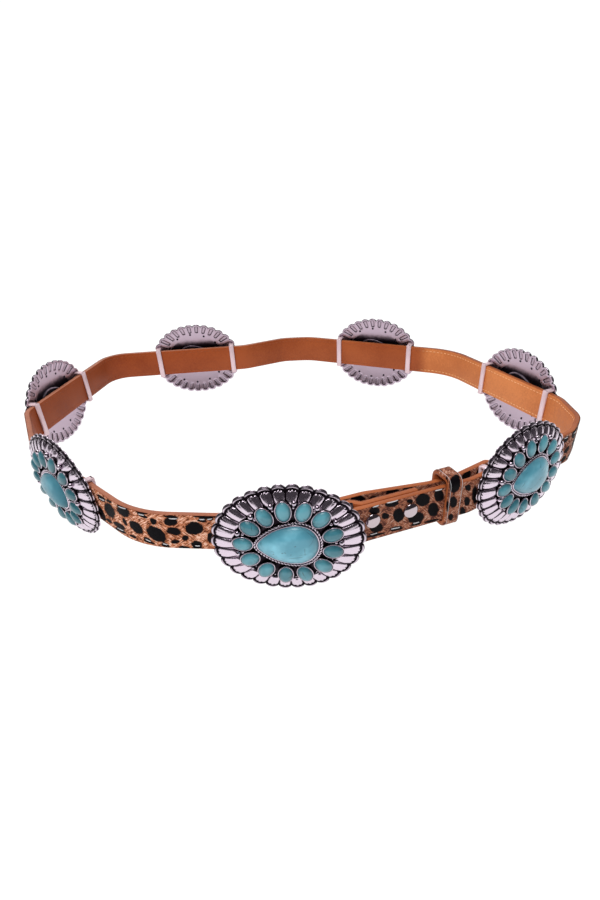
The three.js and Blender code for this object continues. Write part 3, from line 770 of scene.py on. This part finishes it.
def spotField(x, y, spots, least=0.0):
    # how far inside the nearest spot each place lies, in the same measure as x and y
    field = np.full(np.shape(x), -9.0)
    for centreX, centreY, halfLength, halfHeight, tilt in spots:
        reachX = x - centreX
        near = np.abs(reachX) < halfLength + halfHeight + 9
        if not near.any():
            continue
        c, s = math.cos(math.radians(tilt)), math.sin(math.radians(tilt))
        reachX, reachY = reachX[near], y[near] - centreY
        share = np.hypot((reachX * c + reachY * s) / halfLength, (reachY * c - reachX * s) / halfHeight)
        field[near] = np.maximum(field[near], (1 - share) * max(min(halfLength, halfHeight), least))
    return field


def lineSpots(lines, halfHeight):
    return [((x0 + x1) / 2, (y0 + y1) / 2, math.hypot(x1 - x0, y1 - y0) / 2 + 0.5, halfHeight,
             math.degrees(math.atan2(y1 - y0, x1 - x0))) for x0, y0, x1, y1 in lines]


# ---- strap pieces


def tipHeight(distances):
    return np.clip(np.sqrt(np.clip(distances / tail["tipLength"], 0.0004, 1)), 0.02, 1)


def turnedOver(faces):
    return [face[::-1] for face in faces]


def sweepStrap(section, distances):
    shrink, (outs, heights) = tipHeight(distances), np.array(section).T
    columns = [strapPoint(distances, np.full(len(distances), out), height * shrink) for out, height in section]
    lay = np.stack([np.tile(distances[:, None], len(section)), shrink[:, None] * heights,
                    np.tile(outs, (len(distances), 1))], -1)
    points, faces = gridShape(np.stack(columns, 1), capStart=True, capEnd=True)
    return points, turnedOver(faces), lay.reshape(-1, 3)


def edgeSection(inner, outer, half, radius, heights):
    # rounded corners, with points spread over the outer side for the spots
    nip = radius * 0.3
    section = [(inner + radius, -half), (inner + nip, nip - half), (inner, radius - half), (inner, half - radius),
               (inner + nip, half - nip), (inner + radius, half), (outer - radius, half), (outer - nip, half - nip)]
    section += [(outer, height) for height in np.linspace(half - radius, radius - half, heights)]
    return section + [(outer - nip, nip - half), (outer - radius, -half)]


def distanceOf(place, beyond=0.0):
    distances = np.arange(beyond, routeLength, 0.5)
    return float(distances[np.argmin(np.linalg.norm(routeAt(distances)[0] - place, axis=1))])


def makeLining(distances):
    half, edgeRadius = strap["width"] / 2, 0.45
    section = edgeSection(0, strap["thickness"] - strap["hairDepth"], half, edgeRadius, 2)
    points, faces, lay = sweepStrap(section, distances)
    lining = makeMesh("strapLining", points, faces, liningLeather, None, 40)
    lining.materials.append(edgeLeather)
    for polygon in lining.polygons:
        least = min(abs(lay[corner][1]) for corner in polygon.vertices)
        polygon.material_index = int(least > half - 0.98 * edgeRadius)
    placePiece("strapLining", lining, instead=("strap_lining",))


def makeHide(distances, seenZones):
    thickness = strap["thickness"]
    section = edgeSection(thickness - strap["hairDepth"], thickness, strap["width"] / 2 - 0.1, 0.3, 38)
    points, faces, lay = sweepStrap(section, distances)
    scattered = scatterSpots(tail["tipLength"], routeLength, seenZones)
    # painted shade: a black groove under each stitch
    for distance, height in plainStitches(seenZones):
        scattered.append((distance, height, stitches["outerLength"] * 0.8, 0.75, 0))
    field = spotField(lay[:, 0], lay[:, 1], scattered, 1.3)
    along = lay[:, 0]
    seen = np.any([(along > low) & (along < high) for low, high in seenZones], axis=0)
    x, y = seenAt(points[seen])
    # the print's spots, and painted shade in the grooves along the stitches
    chart = seenSpots + lineSpots(seenGrooveShade, hideSpots["grooveShadeHalfHeight"])
    chart += lineSpots(seenStitches, hideSpots["stitchShadeHalfHeight"])
    field[seen] = np.maximum(field[seen], spotField(x, y, chart, 3.0) / hideSpots["pixelsPerMm"])
    face = makeMesh("strapHide", points, faces, spottedHide, {"lay": lay, "spotField": field})
    placePiece("strapHide", face, instead=("strap_face",))
    return x, y, lay[seen]


stitches = {
    "outerPitch": 9.2, "outerLength": 4.2, "outerHeight": 8.0, "outerRadius": 0.3,
    "innerPitch": 3.0, "innerLength": 2.2, "innerHeight": 7.7, "innerRadius": 0.22,
    "fromEnd": 4.0, "behindBuckle": 40.0,
}


def plainStitches(seenZones):
    places = []
    start = seenZones[0][0] - stitches["behindBuckle"]  # the free end shows none
    for distance in np.arange(start, routeLength - stitches["fromEnd"], stitches["outerPitch"]):
        if not any(low < distance < high for low, high in seenZones):
            places += [(float(distance), side * stitches["outerHeight"]) for side in (-1, 1)]
    return places


def stitchShape(middle, length, height, radius, out, tilt=0.0):
    # a thread that dips into the leather at both ends
    rows, turns, side = [], fullTurn(6), 1 if out > 0 else -1
    for share in (-1, -0.8, -0.4, 0, 0.4, 0.8, 1):
        dip = radius * 1.2 * share ** 4
        width = radius * (1 - 0.55 * share ** 6)
        outs = out + side * (-dip + width * 0.8 * np.cos(turns) + radius * 0.15)
        heights = height + share * length / 2 * tilt + width * np.sin(turns)
        rows.append(strapPoint(np.full(len(turns), middle + share * length / 2), outs, heights))
    return gridShape(rows, capStart=True, capEnd=True)


def makeStitches(seenZones, seenX, seenY, seenLay):
    outer, inner = [], []
    radius, out, fromEnd = stitches["outerRadius"], strap["thickness"], stitches["fromEnd"]
    for distance, height in plainStitches(seenZones):
        outer.append(stitchShape(distance, stitches["outerLength"], height, radius, out))
    for x0, y0, x1, y1 in seenStitches:
        ends = [seenLay[np.argmin(np.hypot(seenX - x, seenY - y))] for x, y in ((x0, y0), (x1, y1))]
        start, end = sorted(ends, key=lambda place: place[0])
        length = max(end[0] - start[0], 0.5)
        outer.append(stitchShape((start[0] + end[0]) / 2, length, (start[1] + end[1]) / 2, radius, out,
                                 (end[1] - start[1]) / length))
    for distance in np.arange(tail["tipLength"] + fromEnd, routeLength - fromEnd, stitches["innerPitch"]):
        for height in (-stitches["innerHeight"], stitches["innerHeight"]):
            inner.append(stitchShape(distance, stitches["innerLength"], height, stitches["innerRadius"], 0))
    placeShapes("hideStitches", outer, greyThread)
    placeShapes("liningStitches", inner, tanThread)


def makeStrap():
    fromBuckle = distanceOf(buckleSeat.origin)
    conchos = [distanceOf(seat.origin) for seat, lean in conchoSeats()]
    toFold = distanceOf(foldSeat.at(-foldRadius), conchos[-1])
    zones = [(fromBuckle + 22, conchos[0] - 20), (conchos[-1] + 22, toFold)]  # open to the camera
    print("hide charted from the photograph at", [tuple(round(end) for end in zone) for zone in zones], "mm")
    step = strap["fineStep"]
    fine = [np.arange(low, high, step / 2) for low, high in zones]
    even = np.arange(0, routeLength, step)
    for low, high in zones:
        even = even[(even < low) | (even >= high)]
    distances = np.sort(np.concatenate([even, *fine, [routeLength]]))
    makeLining(np.linspace(0, routeLength, int(routeLength / (2 * step))))
    x, y, lay = makeHide(distances, zones)
    makeStitches(zones, x, y, lay)


makeStrap()
print("strap, hide and stitches made")

# ---- one concho, drawn flat: x right, y up, z outwards from the rim's back

concho = {
    "width": 72.8,
    "height": 57.2,
    "flutes": 30,
    "fluteWidth": 6.8,
    "fluteShare": 0.33,
    "crownHalf": 0.43,
    "grooveDepth": 1.5,
    "rimThickness": 1.6,
    "domeRise": 3.6,
    "domePower": 2.6,
    "metal": 2.1,
    "stoneTurns": (177, 207, 237, 264.5, 289.5, 317, 346, 15, 45, 69, 93.5, 119, 146.5),
    "stoneRing": (42.0, 34.6),
    "stoneSize": (10.4, 7.8),
    "bezelLip": 0.56,
    "stoneBase": 0.45,
    "stoneRise": 2.9,
    "stoneLift": 0.75,
    "stoneTilt": 6.0,
    "beadRing": (49.2, 42.2),
    "pearSize": (28.0, 19.2),
    "pearTaper": 0.3,
    "pearBase": 5.5,
    "pearGirdle": 6.5,
    "pearTop": 10.7,
    "pearPeak": 2.2,
    "ropeMargin": 1.55,
    "twists": 27,
}
halfWidth, halfHeight = concho["width"] / 2, concho["height"] / 2


def evenAngles(shares):
    fine = np.linspace(0, 2 * math.pi, 7201)
    middle = (fine[:-1] + fine[1:]) / 2
    steps = np.hypot(halfWidth * np.sin(middle), halfHeight * np.cos(middle))
    reach = np.concatenate([[0], np.cumsum(steps)])
    return np.interp(np.asarray(shares) % 1.0, reach / reach[-1], fine)


def domeHeight(share):
    return concho["rimThickness"] + concho["domeRise"] * (1 - np.asarray(share) ** concho["domePower"])


def domeAt(x, y):
    return float(domeHeight(math.hypot(x / halfWidth, y / halfHeight)))


def plateShape():
    halfFlute = [0.07, 0.14, 0.21, 0.29, 0.37, 0.425, 0.465]
    acrossFlute = np.array([-0.5, *(-place for place in halfFlute[::-1]), 0, *halfFlute])
    flute = (np.arange(concho["flutes"])[:, None] + acrossFlute).ravel()
    aside = np.abs(np.tile(acrossFlute, concho["flutes"]))  # 0 along a flute's middle, 0.5 in a groove
    crownAside = np.clip(aside / concho["crownHalf"], 0, 1)
    angle = evenAngles(flute / concho["flutes"])
    edgeX, edgeY = halfWidth * np.cos(angle), halfHeight * np.sin(angle)
    radius = np.hypot(edgeX, edgeY)
    fluteLength = concho["fluteShare"] * radius
    scallop = concho["grooveDepth"] * (2 * aside) ** 2.3
    cleft = smoothStep(0.36, 0.5, aside)
    lobe = np.abs(np.cos(1.5 * math.pi * crownAside))
    crownEdge = 1.95 + 0.75 * (1 - lobe ** 0.6) + 0.45 * crownAside ** 2
    rows, marks = [], []

    def addRow(share, height, tarnishAndShade):
        y = np.maximum(share * edgeY, -strap["middle"])  # the rims that the belt stands on are worn flat
        rows.append(np.stack([share * edgeX, y, height * np.ones(len(angle))], -1))
        marks.append(tarnishAndShade * np.ones(len(angle)))

    def add(inset, height, tarnishAndShade):
        addRow((radius - inset - scallop * np.clip(1 - inset / 6, 0, 1)) / radius, height, tarnishAndShade)

    def front(inset):
        share = (radius - inset) / radius
        groove = smoothStep(0.14, 0.46, (0.5 - aside) * concho["fluteWidth"] * share)
        panel = groove * smoothStep(crownEdge - 0.1, crownEdge + 0.25, inset)
        panel *= 1 - smoothStep(fluteLength - 1.2, fluteLength - 0.2, inset)
        along = np.clip((inset - crownEdge) / (0.7 * (fluteLength - crownEdge)), 0, 1)
        crown = 0.24 * np.exp(-((inset - crownEdge - 0.36) / 0.2) ** 2)
        crown += (0.2 + 0.62 * (1 - crownAside ** 2)) * (0.35 + 0.65 * along) + 0.7 * (1 - (1 - along) ** 4) - 0.4
        lip = np.clip(1 - ((inset - 0.72) / 0.72) ** 2, 0, 1) ** 0.6 * (1 - 0.6 * (2 * aside) ** 4)
        height = domeHeight(share) - 0.55 + panel * (0.55 + crown) + lip * 0.8
        height += 0.35 * smoothStep(fluteLength - 1.0, fluteLength, inset)
        return height, np.clip(1.05 - panel * 1.2 - lip * (0.84 - 0.5 * cleft), 0, 1)

    def back(inset):
        # hollow, with a U-shaped dent behind each flute
        fromRim = smoothStep(1.3, 1.9, inset)
        dent = smoothStep(0.12, 0.2, 0.36 - aside) * fromRim
        dent *= 1 - smoothStep(fluteLength - 3.0, fluteLength - 2.4, inset)
        hollow = np.clip(domeHeight((radius - inset) / radius) - concho["metal"], 0, None)
        height = hollow * smoothStep(0.8, 3.0, inset) + 0.55 * fromRim * dent
        return height, 0.75 * dent * (1 - dent) * 4 + 0.25 * dent

    def addRim(insets, side):
        for inset in insets:
            add(inset, *side(np.full(len(angle), inset)))

    def addFlutes(fromRim, shares, side):
        for share in shares:
            inset = fromRim + (fluteLength - fromRim) * share
            add(inset, *side(inset))

    # from the middle of the back, over the rim, to the middle of the front
    inside = 1 - fluteLength / radius
    for share in (0.03, 0.3, 0.45, 0.56, 0.65, 0.73, 0.8, 0.87, 0.93):
        y = share * inside * edgeY  # painted shade: the hollow is darkened above the strap
        tarnishAndShade = 0.85 * np.where(y > 0, np.clip((17.5 - y) / 7.5, 0, 1), 0.15)
        addRow(share * inside, domeHeight(share * inside) - concho["metal"], tarnishAndShade)
    addFlutes(3.0, (1.0, 0.8, 0.66, 0.6, 0.54, 0.42, 0.3, 0.18, 0.08), back)
    addRim((3.0, 2.5, 2.1, 1.8, 1.5, 1.2, 0.8, 0.4), back)
    backRows = len(rows)
    for inset, height, tarnishAndShade in (
        (0.16, 0.07, 0.4), (0.0, 0.25, 0.1), (0.0, 0.5, 0.1),
        (0.12, 0.68, 0.25), (0.34, 0.84, 0.85), (0.2, 1.0, 0.35),
    ):
        add(inset + 0.5 * cleft * (1 - tarnishAndShade), height, tarnishAndShade + (1 - tarnishAndShade) * 0.8 * cleft)
    addRim((0.02, 0.08, 0.2, 0.4, 0.7, 1.0, 1.22, 1.38, 1.55, 1.75, 1.9, 2.02, 2.14, 2.26, 2.38, 2.5,
            2.62, 2.74, 2.86, 3.0, 3.15, 3.3, 3.5), front)
    addFlutes(3.5, (0.08, 0.2, 0.33, 0.46, 0.6, 0.74, 0.86, 0.93, 1.0), front)
    for share in (0.93, 0.8, 0.6, 0.35, 0.03):
        addRow(share * inside, domeHeight(share * inside) - 0.2, 0.7)
    points, faces = gridShape(rows, capStart=True, capEnd=True)
    faceRow = [i // len(angle) for i in range((len(rows) - 1) * len(angle))] + [0, len(rows)]
    return points, faces, np.concatenate(marks), faceRow, backRows


def ovalRows(profile, halves, sides):
    # rings of an oval from inset and height pairs
    return [ringRow(0, 0, height, [half - inset for half in halves], fullTurn(sides)) for inset, height in profile]


def stoneCentre(turn, widths):
    # the ring of stones is a little fuller round the blunt end of the pear
    angle = math.radians(turn)
    fuller = 1 + 0.09 * math.cos(angle) * abs(math.sin(angle))
    return fuller * widths[0] / 2 * math.cos(angle), fuller * widths[1] / 2 * math.sin(angle)


def stonePlaces(turns):
    spins = []
    for turn in turns:
        x, y = stoneCentre(turn, concho["stoneRing"])
        spins.append(Matrix.Translation((x, y, domeAt(x, y) + concho["stoneLift"]))
                     @ Matrix.Rotation(math.atan2(y, x), 4, "Z") @ turnMatrix(concho["stoneTilt"], "Y"))
    return spins


def movedShape(shape, matrix):
    turn = np.array(matrix.to_3x3())
    return (shape[0] @ turn.T + np.array(matrix.translation), *shape[1:])


def bezelShape():
    profile = [(0.05, -1.3), (0.0, -0.2), (0.0, 0.7), (0.08, 0.96),
               (0.24, 1.1), (0.42, 1.04), (0.54, 0.85), (0.62, 0.4)]
    halves = [size / 2 for size in concho["stoneSize"]]
    return *gridShape(ovalRows(profile, halves, 32)), np.repeat([1.0, 1.0, 0.55, 0.1, 0.0, 0.0, 0.6, 1.0], 32)


def cabochonShape(sides=28):
    halfLength, halfAcross = (size / 2 - concho["bezelLip"] for size in concho["stoneSize"])
    low, top = concho["stoneBase"], concho["stoneRise"]
    rows, girdle = [], []
    for lift in (0, 0.18, 0.36, 0.52, 0.68, 0.82, 0.93, 0.985):
        share = math.cos(math.asin(lift)) ** 0.9
        halves = (halfLength * share, halfAcross * share)
        rows.append(ringRow(0, 0, low + (top - low) * lift, halves, fullTurn(sides)))
        girdle.append(share)
    return *gridShape(rows, capEnd=True), np.repeat(girdle, sides)


def betweenStones(turns, share):
    # places in the gaps of the ring of stones
    widths = [share * width for width in concho["beadRing"]]
    middles = [turn + ((after - turn) % 360) / 2 for turn, after in zip(turns, turns[1:] + turns[:1])]
    return [stoneCentre(middle, widths) for middle in middles]


def beadShapes(turns):
    beads = []
    for ring, radius, lift in ((1.0, 1.35, 1.5), (0.9, 0.85, 0.9)):
        for x, y in betweenStones(turns, ring):
            size = 1.0 if y > -8 else 0.55  # the lower ones hardly show between the stones
            beads.append(ballShape((x, y, domeAt(x, y) + lift * size), radius * size))
    return beads


def pearOutline(margin, turns):
    length, width = concho["pearSize"]
    taper = (1 + concho["pearTaper"] * np.cos(turns)) / math.hypot(1, concho["pearTaper"] / 2)
    tip = 1 - 0.12 * np.clip(1 - (1 + np.cos(turns)) / 0.5, 0, 1)
    return (length / 2 + margin) * np.cos(turns), (width / 2 + margin) * np.sin(turns) * taper * tip


def pearRows(profile, sides):
    # pear-shaped rings from margin and height pairs
    turns = fullTurn(sides)
    return [np.stack([*pearOutline(margin, turns), np.full(sides, height)], -1) for margin, height in profile]


def pearBezelShape():
    profile = [(1.6, 3.6 - concho["pearGirdle"]), (1.3, -1.5), (0.8, -1.2), (0.75, -0.5), (0.66, -0.1), (0.42, 0.08),
               (0.16, 0.02), (0.0, -0.15), (-0.1, -0.6)]
    rows = pearRows([(margin, concho["pearGirdle"] + lift) for margin, lift in profile], 72)
    return *gridShape(rows), np.repeat([1.0, 1.0, 1.0, 0.8, 0.1, 0.0, 0.0, 0.5, 1.0], 72)


def ropeShape():
    # two wires twisted round each other, in a ring outside the pear's bezel
    twists, margin = concho["twists"], concho["ropeMargin"]
    turns, fine = fullTurn(twists * 12), np.linspace(0, 2 * math.pi, 2001)
    reach = alongLine(np.stack(pearOutline(margin, fine), -1))
    even = np.interp(turns / (2 * math.pi), reach / reach[-1], fine)
    middle = np.stack(pearOutline(margin, even), -1)
    away = np.stack(pearOutline(margin + 1, even), -1) - middle
    away /= np.linalg.norm(away, axis=1, keepdims=True)
    columns, marks = [], []
    for angle in fullTurn(8):
        wave = np.abs(np.cos(twists * turns + angle))
        size = 0.44 + 0.3 * wave
        flat = middle + away * (size * math.cos(angle))[:, None]
        height = concho["pearGirdle"] - 0.75 + size * math.sin(angle)
        columns.append(np.concatenate([flat, height[:, None]], 1))
        marks.append(np.clip(1.25 - wave * 1.6, 0, 1))
    rows, marks = np.stack(columns, 1), np.stack(marks, 1)
    points, faces = gridShape(np.concatenate([rows, rows[:1]]))
    return points, turnedOver(faces), np.concatenate([marks, marks[:1]]).ravel()


def pearStoneShape(sides=56):
    base, low, top = concho["pearBase"], concho["pearGirdle"] - 0.3, concho["pearTop"]
    rows, girdle = pearRows([(0, base), (0, low)], sides), [1.0, 1.0]
    x, y = pearOutline(0, fullTurn(sides))
    for lift in (0.12, 0.25, 0.38, 0.5, 0.62, 0.73, 0.83, 0.91, 0.965, 0.992):
        share = math.cos(math.asin(lift)) ** 0.92
        height = np.full(sides, low + (top - low) * lift)
        rows.append(np.stack([share * x + (1 - share) * concho["pearPeak"], share * y, height], -1))
        girdle.append(share)
    return *gridShape(rows, capStart=True, capEnd=True), np.repeat(girdle, sides)


def cupBackShape():
    # the back of the pear's cup, standing a little out of the hollow
    rows = pearRows([(1.9, 3.4), (1.5, 2.3), (1.1, 1.9), (0.3, 1.75), (-5.0, 1.7)], 56)
    points, faces = gridShape(rows, capEnd=True)
    return points, turnedOver(faces), np.repeat([0.9, 0.55, 0.3, 0.7, 0.8], 56)


def pitShapes(turns):
    # dark dimples behind the beads
    pits = []
    for x, y in betweenStones(turns, 0.96):
        height = domeAt(x, y) - concho["metal"]
        rings = ((0.95, 0.08), (0.85, -0.12), (0.4, -0.14))
        rows = [roundRow(x, y, height + lift, radius, 12) for radius, lift in rings]
        points, faces = gridShape(rows, capEnd=True)
        pits.append((points, turnedOver(faces), np.ones(len(points))))
    return pits


def joinedMesh(name, shapes, material, mark):
    points, faces, marks = joinShapes(shapes)
    return makeMesh(name, points, faces, material, {mark: marks})


def makeConchoMeshes():
    points, faces, tarnishAndShade, faceRow, backRows = plateShape()
    plate = makeMesh("conchoPlate", points, faces, silver, {"tarnishAndShade": tarnishAndShade})
    plate.materials.append(silverBack)
    for polygon, row in zip(plate.polygons, faceRow):
        polygon.material_index = int(row < backRows)
    looks, count = [], len(concho["stoneTurns"])
    evenTurns = tuple(180 + i * 360 / count for i in range(count))
    for kind, turns, pearMaterial in (
        ("front", concho["stoneTurns"], frontPearTurquoise),
        ("side", evenTurns, sidePearTurquoise),
        ("plain", evenTurns, pearTurquoise),
    ):
        places = stonePlaces(turns)
        bezels = [movedShape(bezelShape(), place) for place in places]
        settings = bezels + beadShapes(turns) + [pearBezelShape(), ropeShape()]
        cabochons = [movedShape(cabochonShape(), place) for place in places]
        backs = [cupBackShape(), *pitShapes(turns)]
        points, faces, girdle = pearStoneShape()
        looks.append((
            joinedMesh(kind + "Settings", settings, silver, "tarnishAndShade"),
            joinedMesh(kind + "SmallStones", cabochons, smallTurquoise, "girdle"),
            makeMesh(kind + "Pear", points, faces, pearMaterial, {"girdle": girdle, "onStone": points}),
            joinedMesh(kind + "BackDetails", backs, silverBack, "tarnishAndShade"),
        ))
    return plate, looks


def plateRoot(x):
    share = math.hypot(x / halfWidth, (strap["width"] / 2 + bars["leg"]) / halfHeight)
    return float(domeHeight(min(share, 1))) - 0.9


def stapleShapes(centre, innerDepth, width, thickness, root, leg):
    inside = strap["width"] / 2 + bars["gap"]
    outside = inside + leg
    back = -innerDepth - thickness
    left, right = centre - width / 2, centre + width / 2
    return [
        boxShape((left, -outside, back), (right, outside, -innerDepth), 0.35),
        boxShape((left + 0.05, inside, back + 0.3), (right - 0.05, outside, root), 0.3),
        boxShape((left + 0.05, -outside, back + 0.3), (right - 0.05, -inside, root), 0.3),
    ]


def postShape(x, profile, sides=24):
    rows = [roundRow(x, 0, height, radius, sides) for radius, height in profile]
    return gridShape(rows, capStart=True, capEnd=True)


def buckleFastening():
    # the bail that holds the strap's fold, and the hook post
    barCentre = foldSeat.at(0, -foldRadius) - buckleSeat.origin
    bailX, bar = float(barCentre @ buckleSeat.right), buckle["bailBar"]
    depth = buckle["standoff"] - float(barCentre @ buckleSeat.outward) - bar / 2
    shapes = stapleShapes(bailX, depth, bar, bar, plateRoot(bailX), buckle["bailLeg"])
    inner, head, radius = -buckle["standoff"] - bars["gap"], buckle["hookHead"] / 2, buckle["hookDiameter"] / 2
    outer, x = inner - buckle["hookHeadThickness"], buckle["hookAt"]
    profile = [(head - 0.4, outer), (head, outer + 0.4), (head, inner - 0.2), (head - 0.2, inner), (radius, inner),
               (radius, plateRoot(x))]
    return shapes + [postShape(x, profile)]


def strapBars(i, lean):
    # two flat bars behind a concho, which the strap runs under
    half = (bars["spacing"] - bars["closer"].get(i, 0)) / 2
    depth = bars["strapBehindRim"] + strap["thickness"] + bars["gap"] + strap["width"] / 2 * math.tan(lean)
    shapes = []
    for x in (-half, half):
        shapes += stapleShapes(x, depth, bars["width"], bars["thickness"], plateRoot(x), bars["leg"])
    return shapes


def makeConchos():
    plate, looks = makeConchoMeshes()
    seats = [("buckle", buckleSeat, buckle["standoff"], math.radians(buckle["lean"]))]
    seats += [(f"concho{i + 1}", seat, strap["thickness"] + bars["strapBehindRim"], lean)
              for i, (seat, lean) in enumerate(conchoSeats())]
    for i, (name, seat, out, lean) in enumerate(seats):
        node = "buckle" if i == 0 else f"concho_{i}"
        matrix = seat.matrix(out, 0.0, lean)
        setting, stones, pear, backs = looks[min(i, 2)]
        placePiece(name + "Plate", plate, matrix, (node,))
        placePiece(name + "Settings", setting, matrix)
        placePiece(name + "SmallStones", stones, matrix)
        placePiece(name + "Pear", pear, matrix, (node + "_stone",))
        placePiece(name + "BackDetails", backs, matrix)
        if i == 0:  # its bail and hook stay upright
            # painted shade: the bail and hook are darkened to read as the shade behind the buckle
            shapes, material, tarnishAndShade, matrix = buckleFastening(), silverBack, 0.8, seat.matrix(out)
        else:
            shapes, material, tarnishAndShade = strapBars(i, lean), barSilver, 0.05
        points, faces, marks = joinShapes(shapes)
        data = makeMesh(name + "Bars", points, faces, material, {"tarnishAndShade": marks + tarnishAndShade}, 50)
        placePiece(name + "Bars", data, matrix)


makeConchos()
print("seven conchos set")

# ---- keeper and snaps


def keeperSection(margin, steps=8, sideSteps=(6, 12)):
    # rounded corners, and points along the sides too
    left = -strap["thickness"] - keeper["clearance"] - margin
    right = strap["thickness"] + keeper["slack"] + keeper["clearance"] + margin
    top = strap["width"] / 2 + keeper["headroom"] + margin
    radius = keeper["round"] - keeper["thickness"] + margin
    centres = [np.array((x - math.copysign(radius, x), y - math.copysign(radius, y)))
               for x, y in ((right, top), (left, top), (left, -top), (right, -top))]
    outline = []
    for quarter, centre in enumerate(centres):
        outline += [centre + radius * direction((quarter + k / steps) * math.pi / 2) for k in range(steps + 1)]
        side, parts = centres[(quarter + 1) % 4] - centre, sideSteps[quarter % 2]
        outline += [outline[-1] + side * k / parts for k in range(1, parts)]
    return np.array(outline)


def keeperLoop(profile):
    # profile: margin from the inner outline and place across the keeper's width
    return np.array([[(across, y, -x) for x, y in keeperSection(margin)] for margin, across in profile])


def keeperThread(across, radius=0.1):
    # a pale thread laid round the outside of the loop
    outline = keeperSection(keeper["thickness"] + 0.04)
    away = outline - outline.mean(axis=0)
    away /= np.linalg.norm(away, axis=1, keepdims=True)
    rows = []
    for turn in fullTurn(6):
        ring = outline + away * radius * math.sin(turn)
        rows.append(np.stack([np.full(len(ring), across + radius * math.cos(turn)), ring[:, 1], -ring[:, 0]], -1))
    return gridShape(np.array(rows + rows[:1]))


def makeKeeper():
    half, thick = keeper["width"] / 2, keeper["thickness"]
    matrix = Seat(foldSeat.at(keeper["station"]), foldSeat.turn).matrix(0, keeper["raise"])
    edge = 0.5
    profile = [(0.0, half - edge), (0.2, half - 0.15), (edge, half), (thick - 1.1, half), (thick - 0.8, half - 0.12)]
    ring = profile + [(margin, -across) for margin, across in profile[::-1]]
    rows = keeperLoop(ring)
    leather = makeMesh("keeperLeather", *gridShape(np.concatenate([rows, rows[:1]])), edgeLeather, None, 50)
    placePiece("keeperLeather", leather, matrix, ("keeper",))
    skin = [(thick - 1.0, half - 0.25), (thick - 0.25, half - 0.28), (thick, half - 0.6)]
    skin += [(thick, across) for across in np.linspace(half - 1.2, -half + 1.2, 9)]
    skin += [(margin, -across) for margin, across in skin[2::-1]]
    rows = keeperLoop(skin)
    reach = np.tile(alongLine(keeperSection(thick)), (len(rows), 1))
    lay = np.stack([rows[:, :, 0] + keeper["hairsFrom"], reach, np.zeros(rows.shape[:2])], -1).reshape(-1, 3)
    points, faces = gridShape(rows)
    x, y = seenAt(points @ np.array(matrix.to_3x3()).T + np.array(matrix.translation) / mm)
    outer = points[:, 2] > strap["thickness"] - 2  # the side that the camera sees
    field = np.where(outer, spotField(x, y, keeperSpots) / hideSpots["pixelsPerMm"], -3.0)
    hide = makeMesh("keeperHide", points, faces, spottedHide, {"lay": lay, "spotField": field})
    placePiece("keeperHide", hide, matrix)
    threads = [keeperThread(across) for across in (half - 0.75, 1.3 - half)]
    placeShapes("keeperThreads", threads, greyThread, matrix)


snap = {"diameter": 8.0, "rise": 2.3, "edge": 0.35, "back": 5.6, "backThickness": 1.0, "post": 3.0}


def makeSnaps():
    radius, head, edge = snap["diameter"] / 2, strap["thickness"] + 0.1, snap["edge"]
    inner = -(fold["gap"] + strap["thickness"])
    outer, back, post = inner - snap["backThickness"], snap["back"] / 2, snap["post"] / 2
    profile = [(back - 0.3, outer), (back, outer + 0.3), (back, inner), (post, inner + 0.05), (post, head),
               (radius - 0.15, head), (radius, head + 0.15), (radius, head + edge)]
    for k in range(1, 12):
        angle = k / 12 * math.pi / 2
        profile.append((radius * math.cos(angle) ** 0.92, head + edge + (snap["rise"] - edge) * math.sin(angle)))
    data = makeMesh("snapHead", *postShape(0, profile, 40), chrome, None, 60)
    for i, station in enumerate(fold["snaps"]):
        seat = Seat(foldSeat.at(station), foldSeat.turn)
        placePiece(f"snap{i + 1}", data, seat.matrix(0, fold["snapRaise"]), (f"snap_{i + 1}",))


makeKeeper()
makeSnaps()
print("keeper and snaps made")
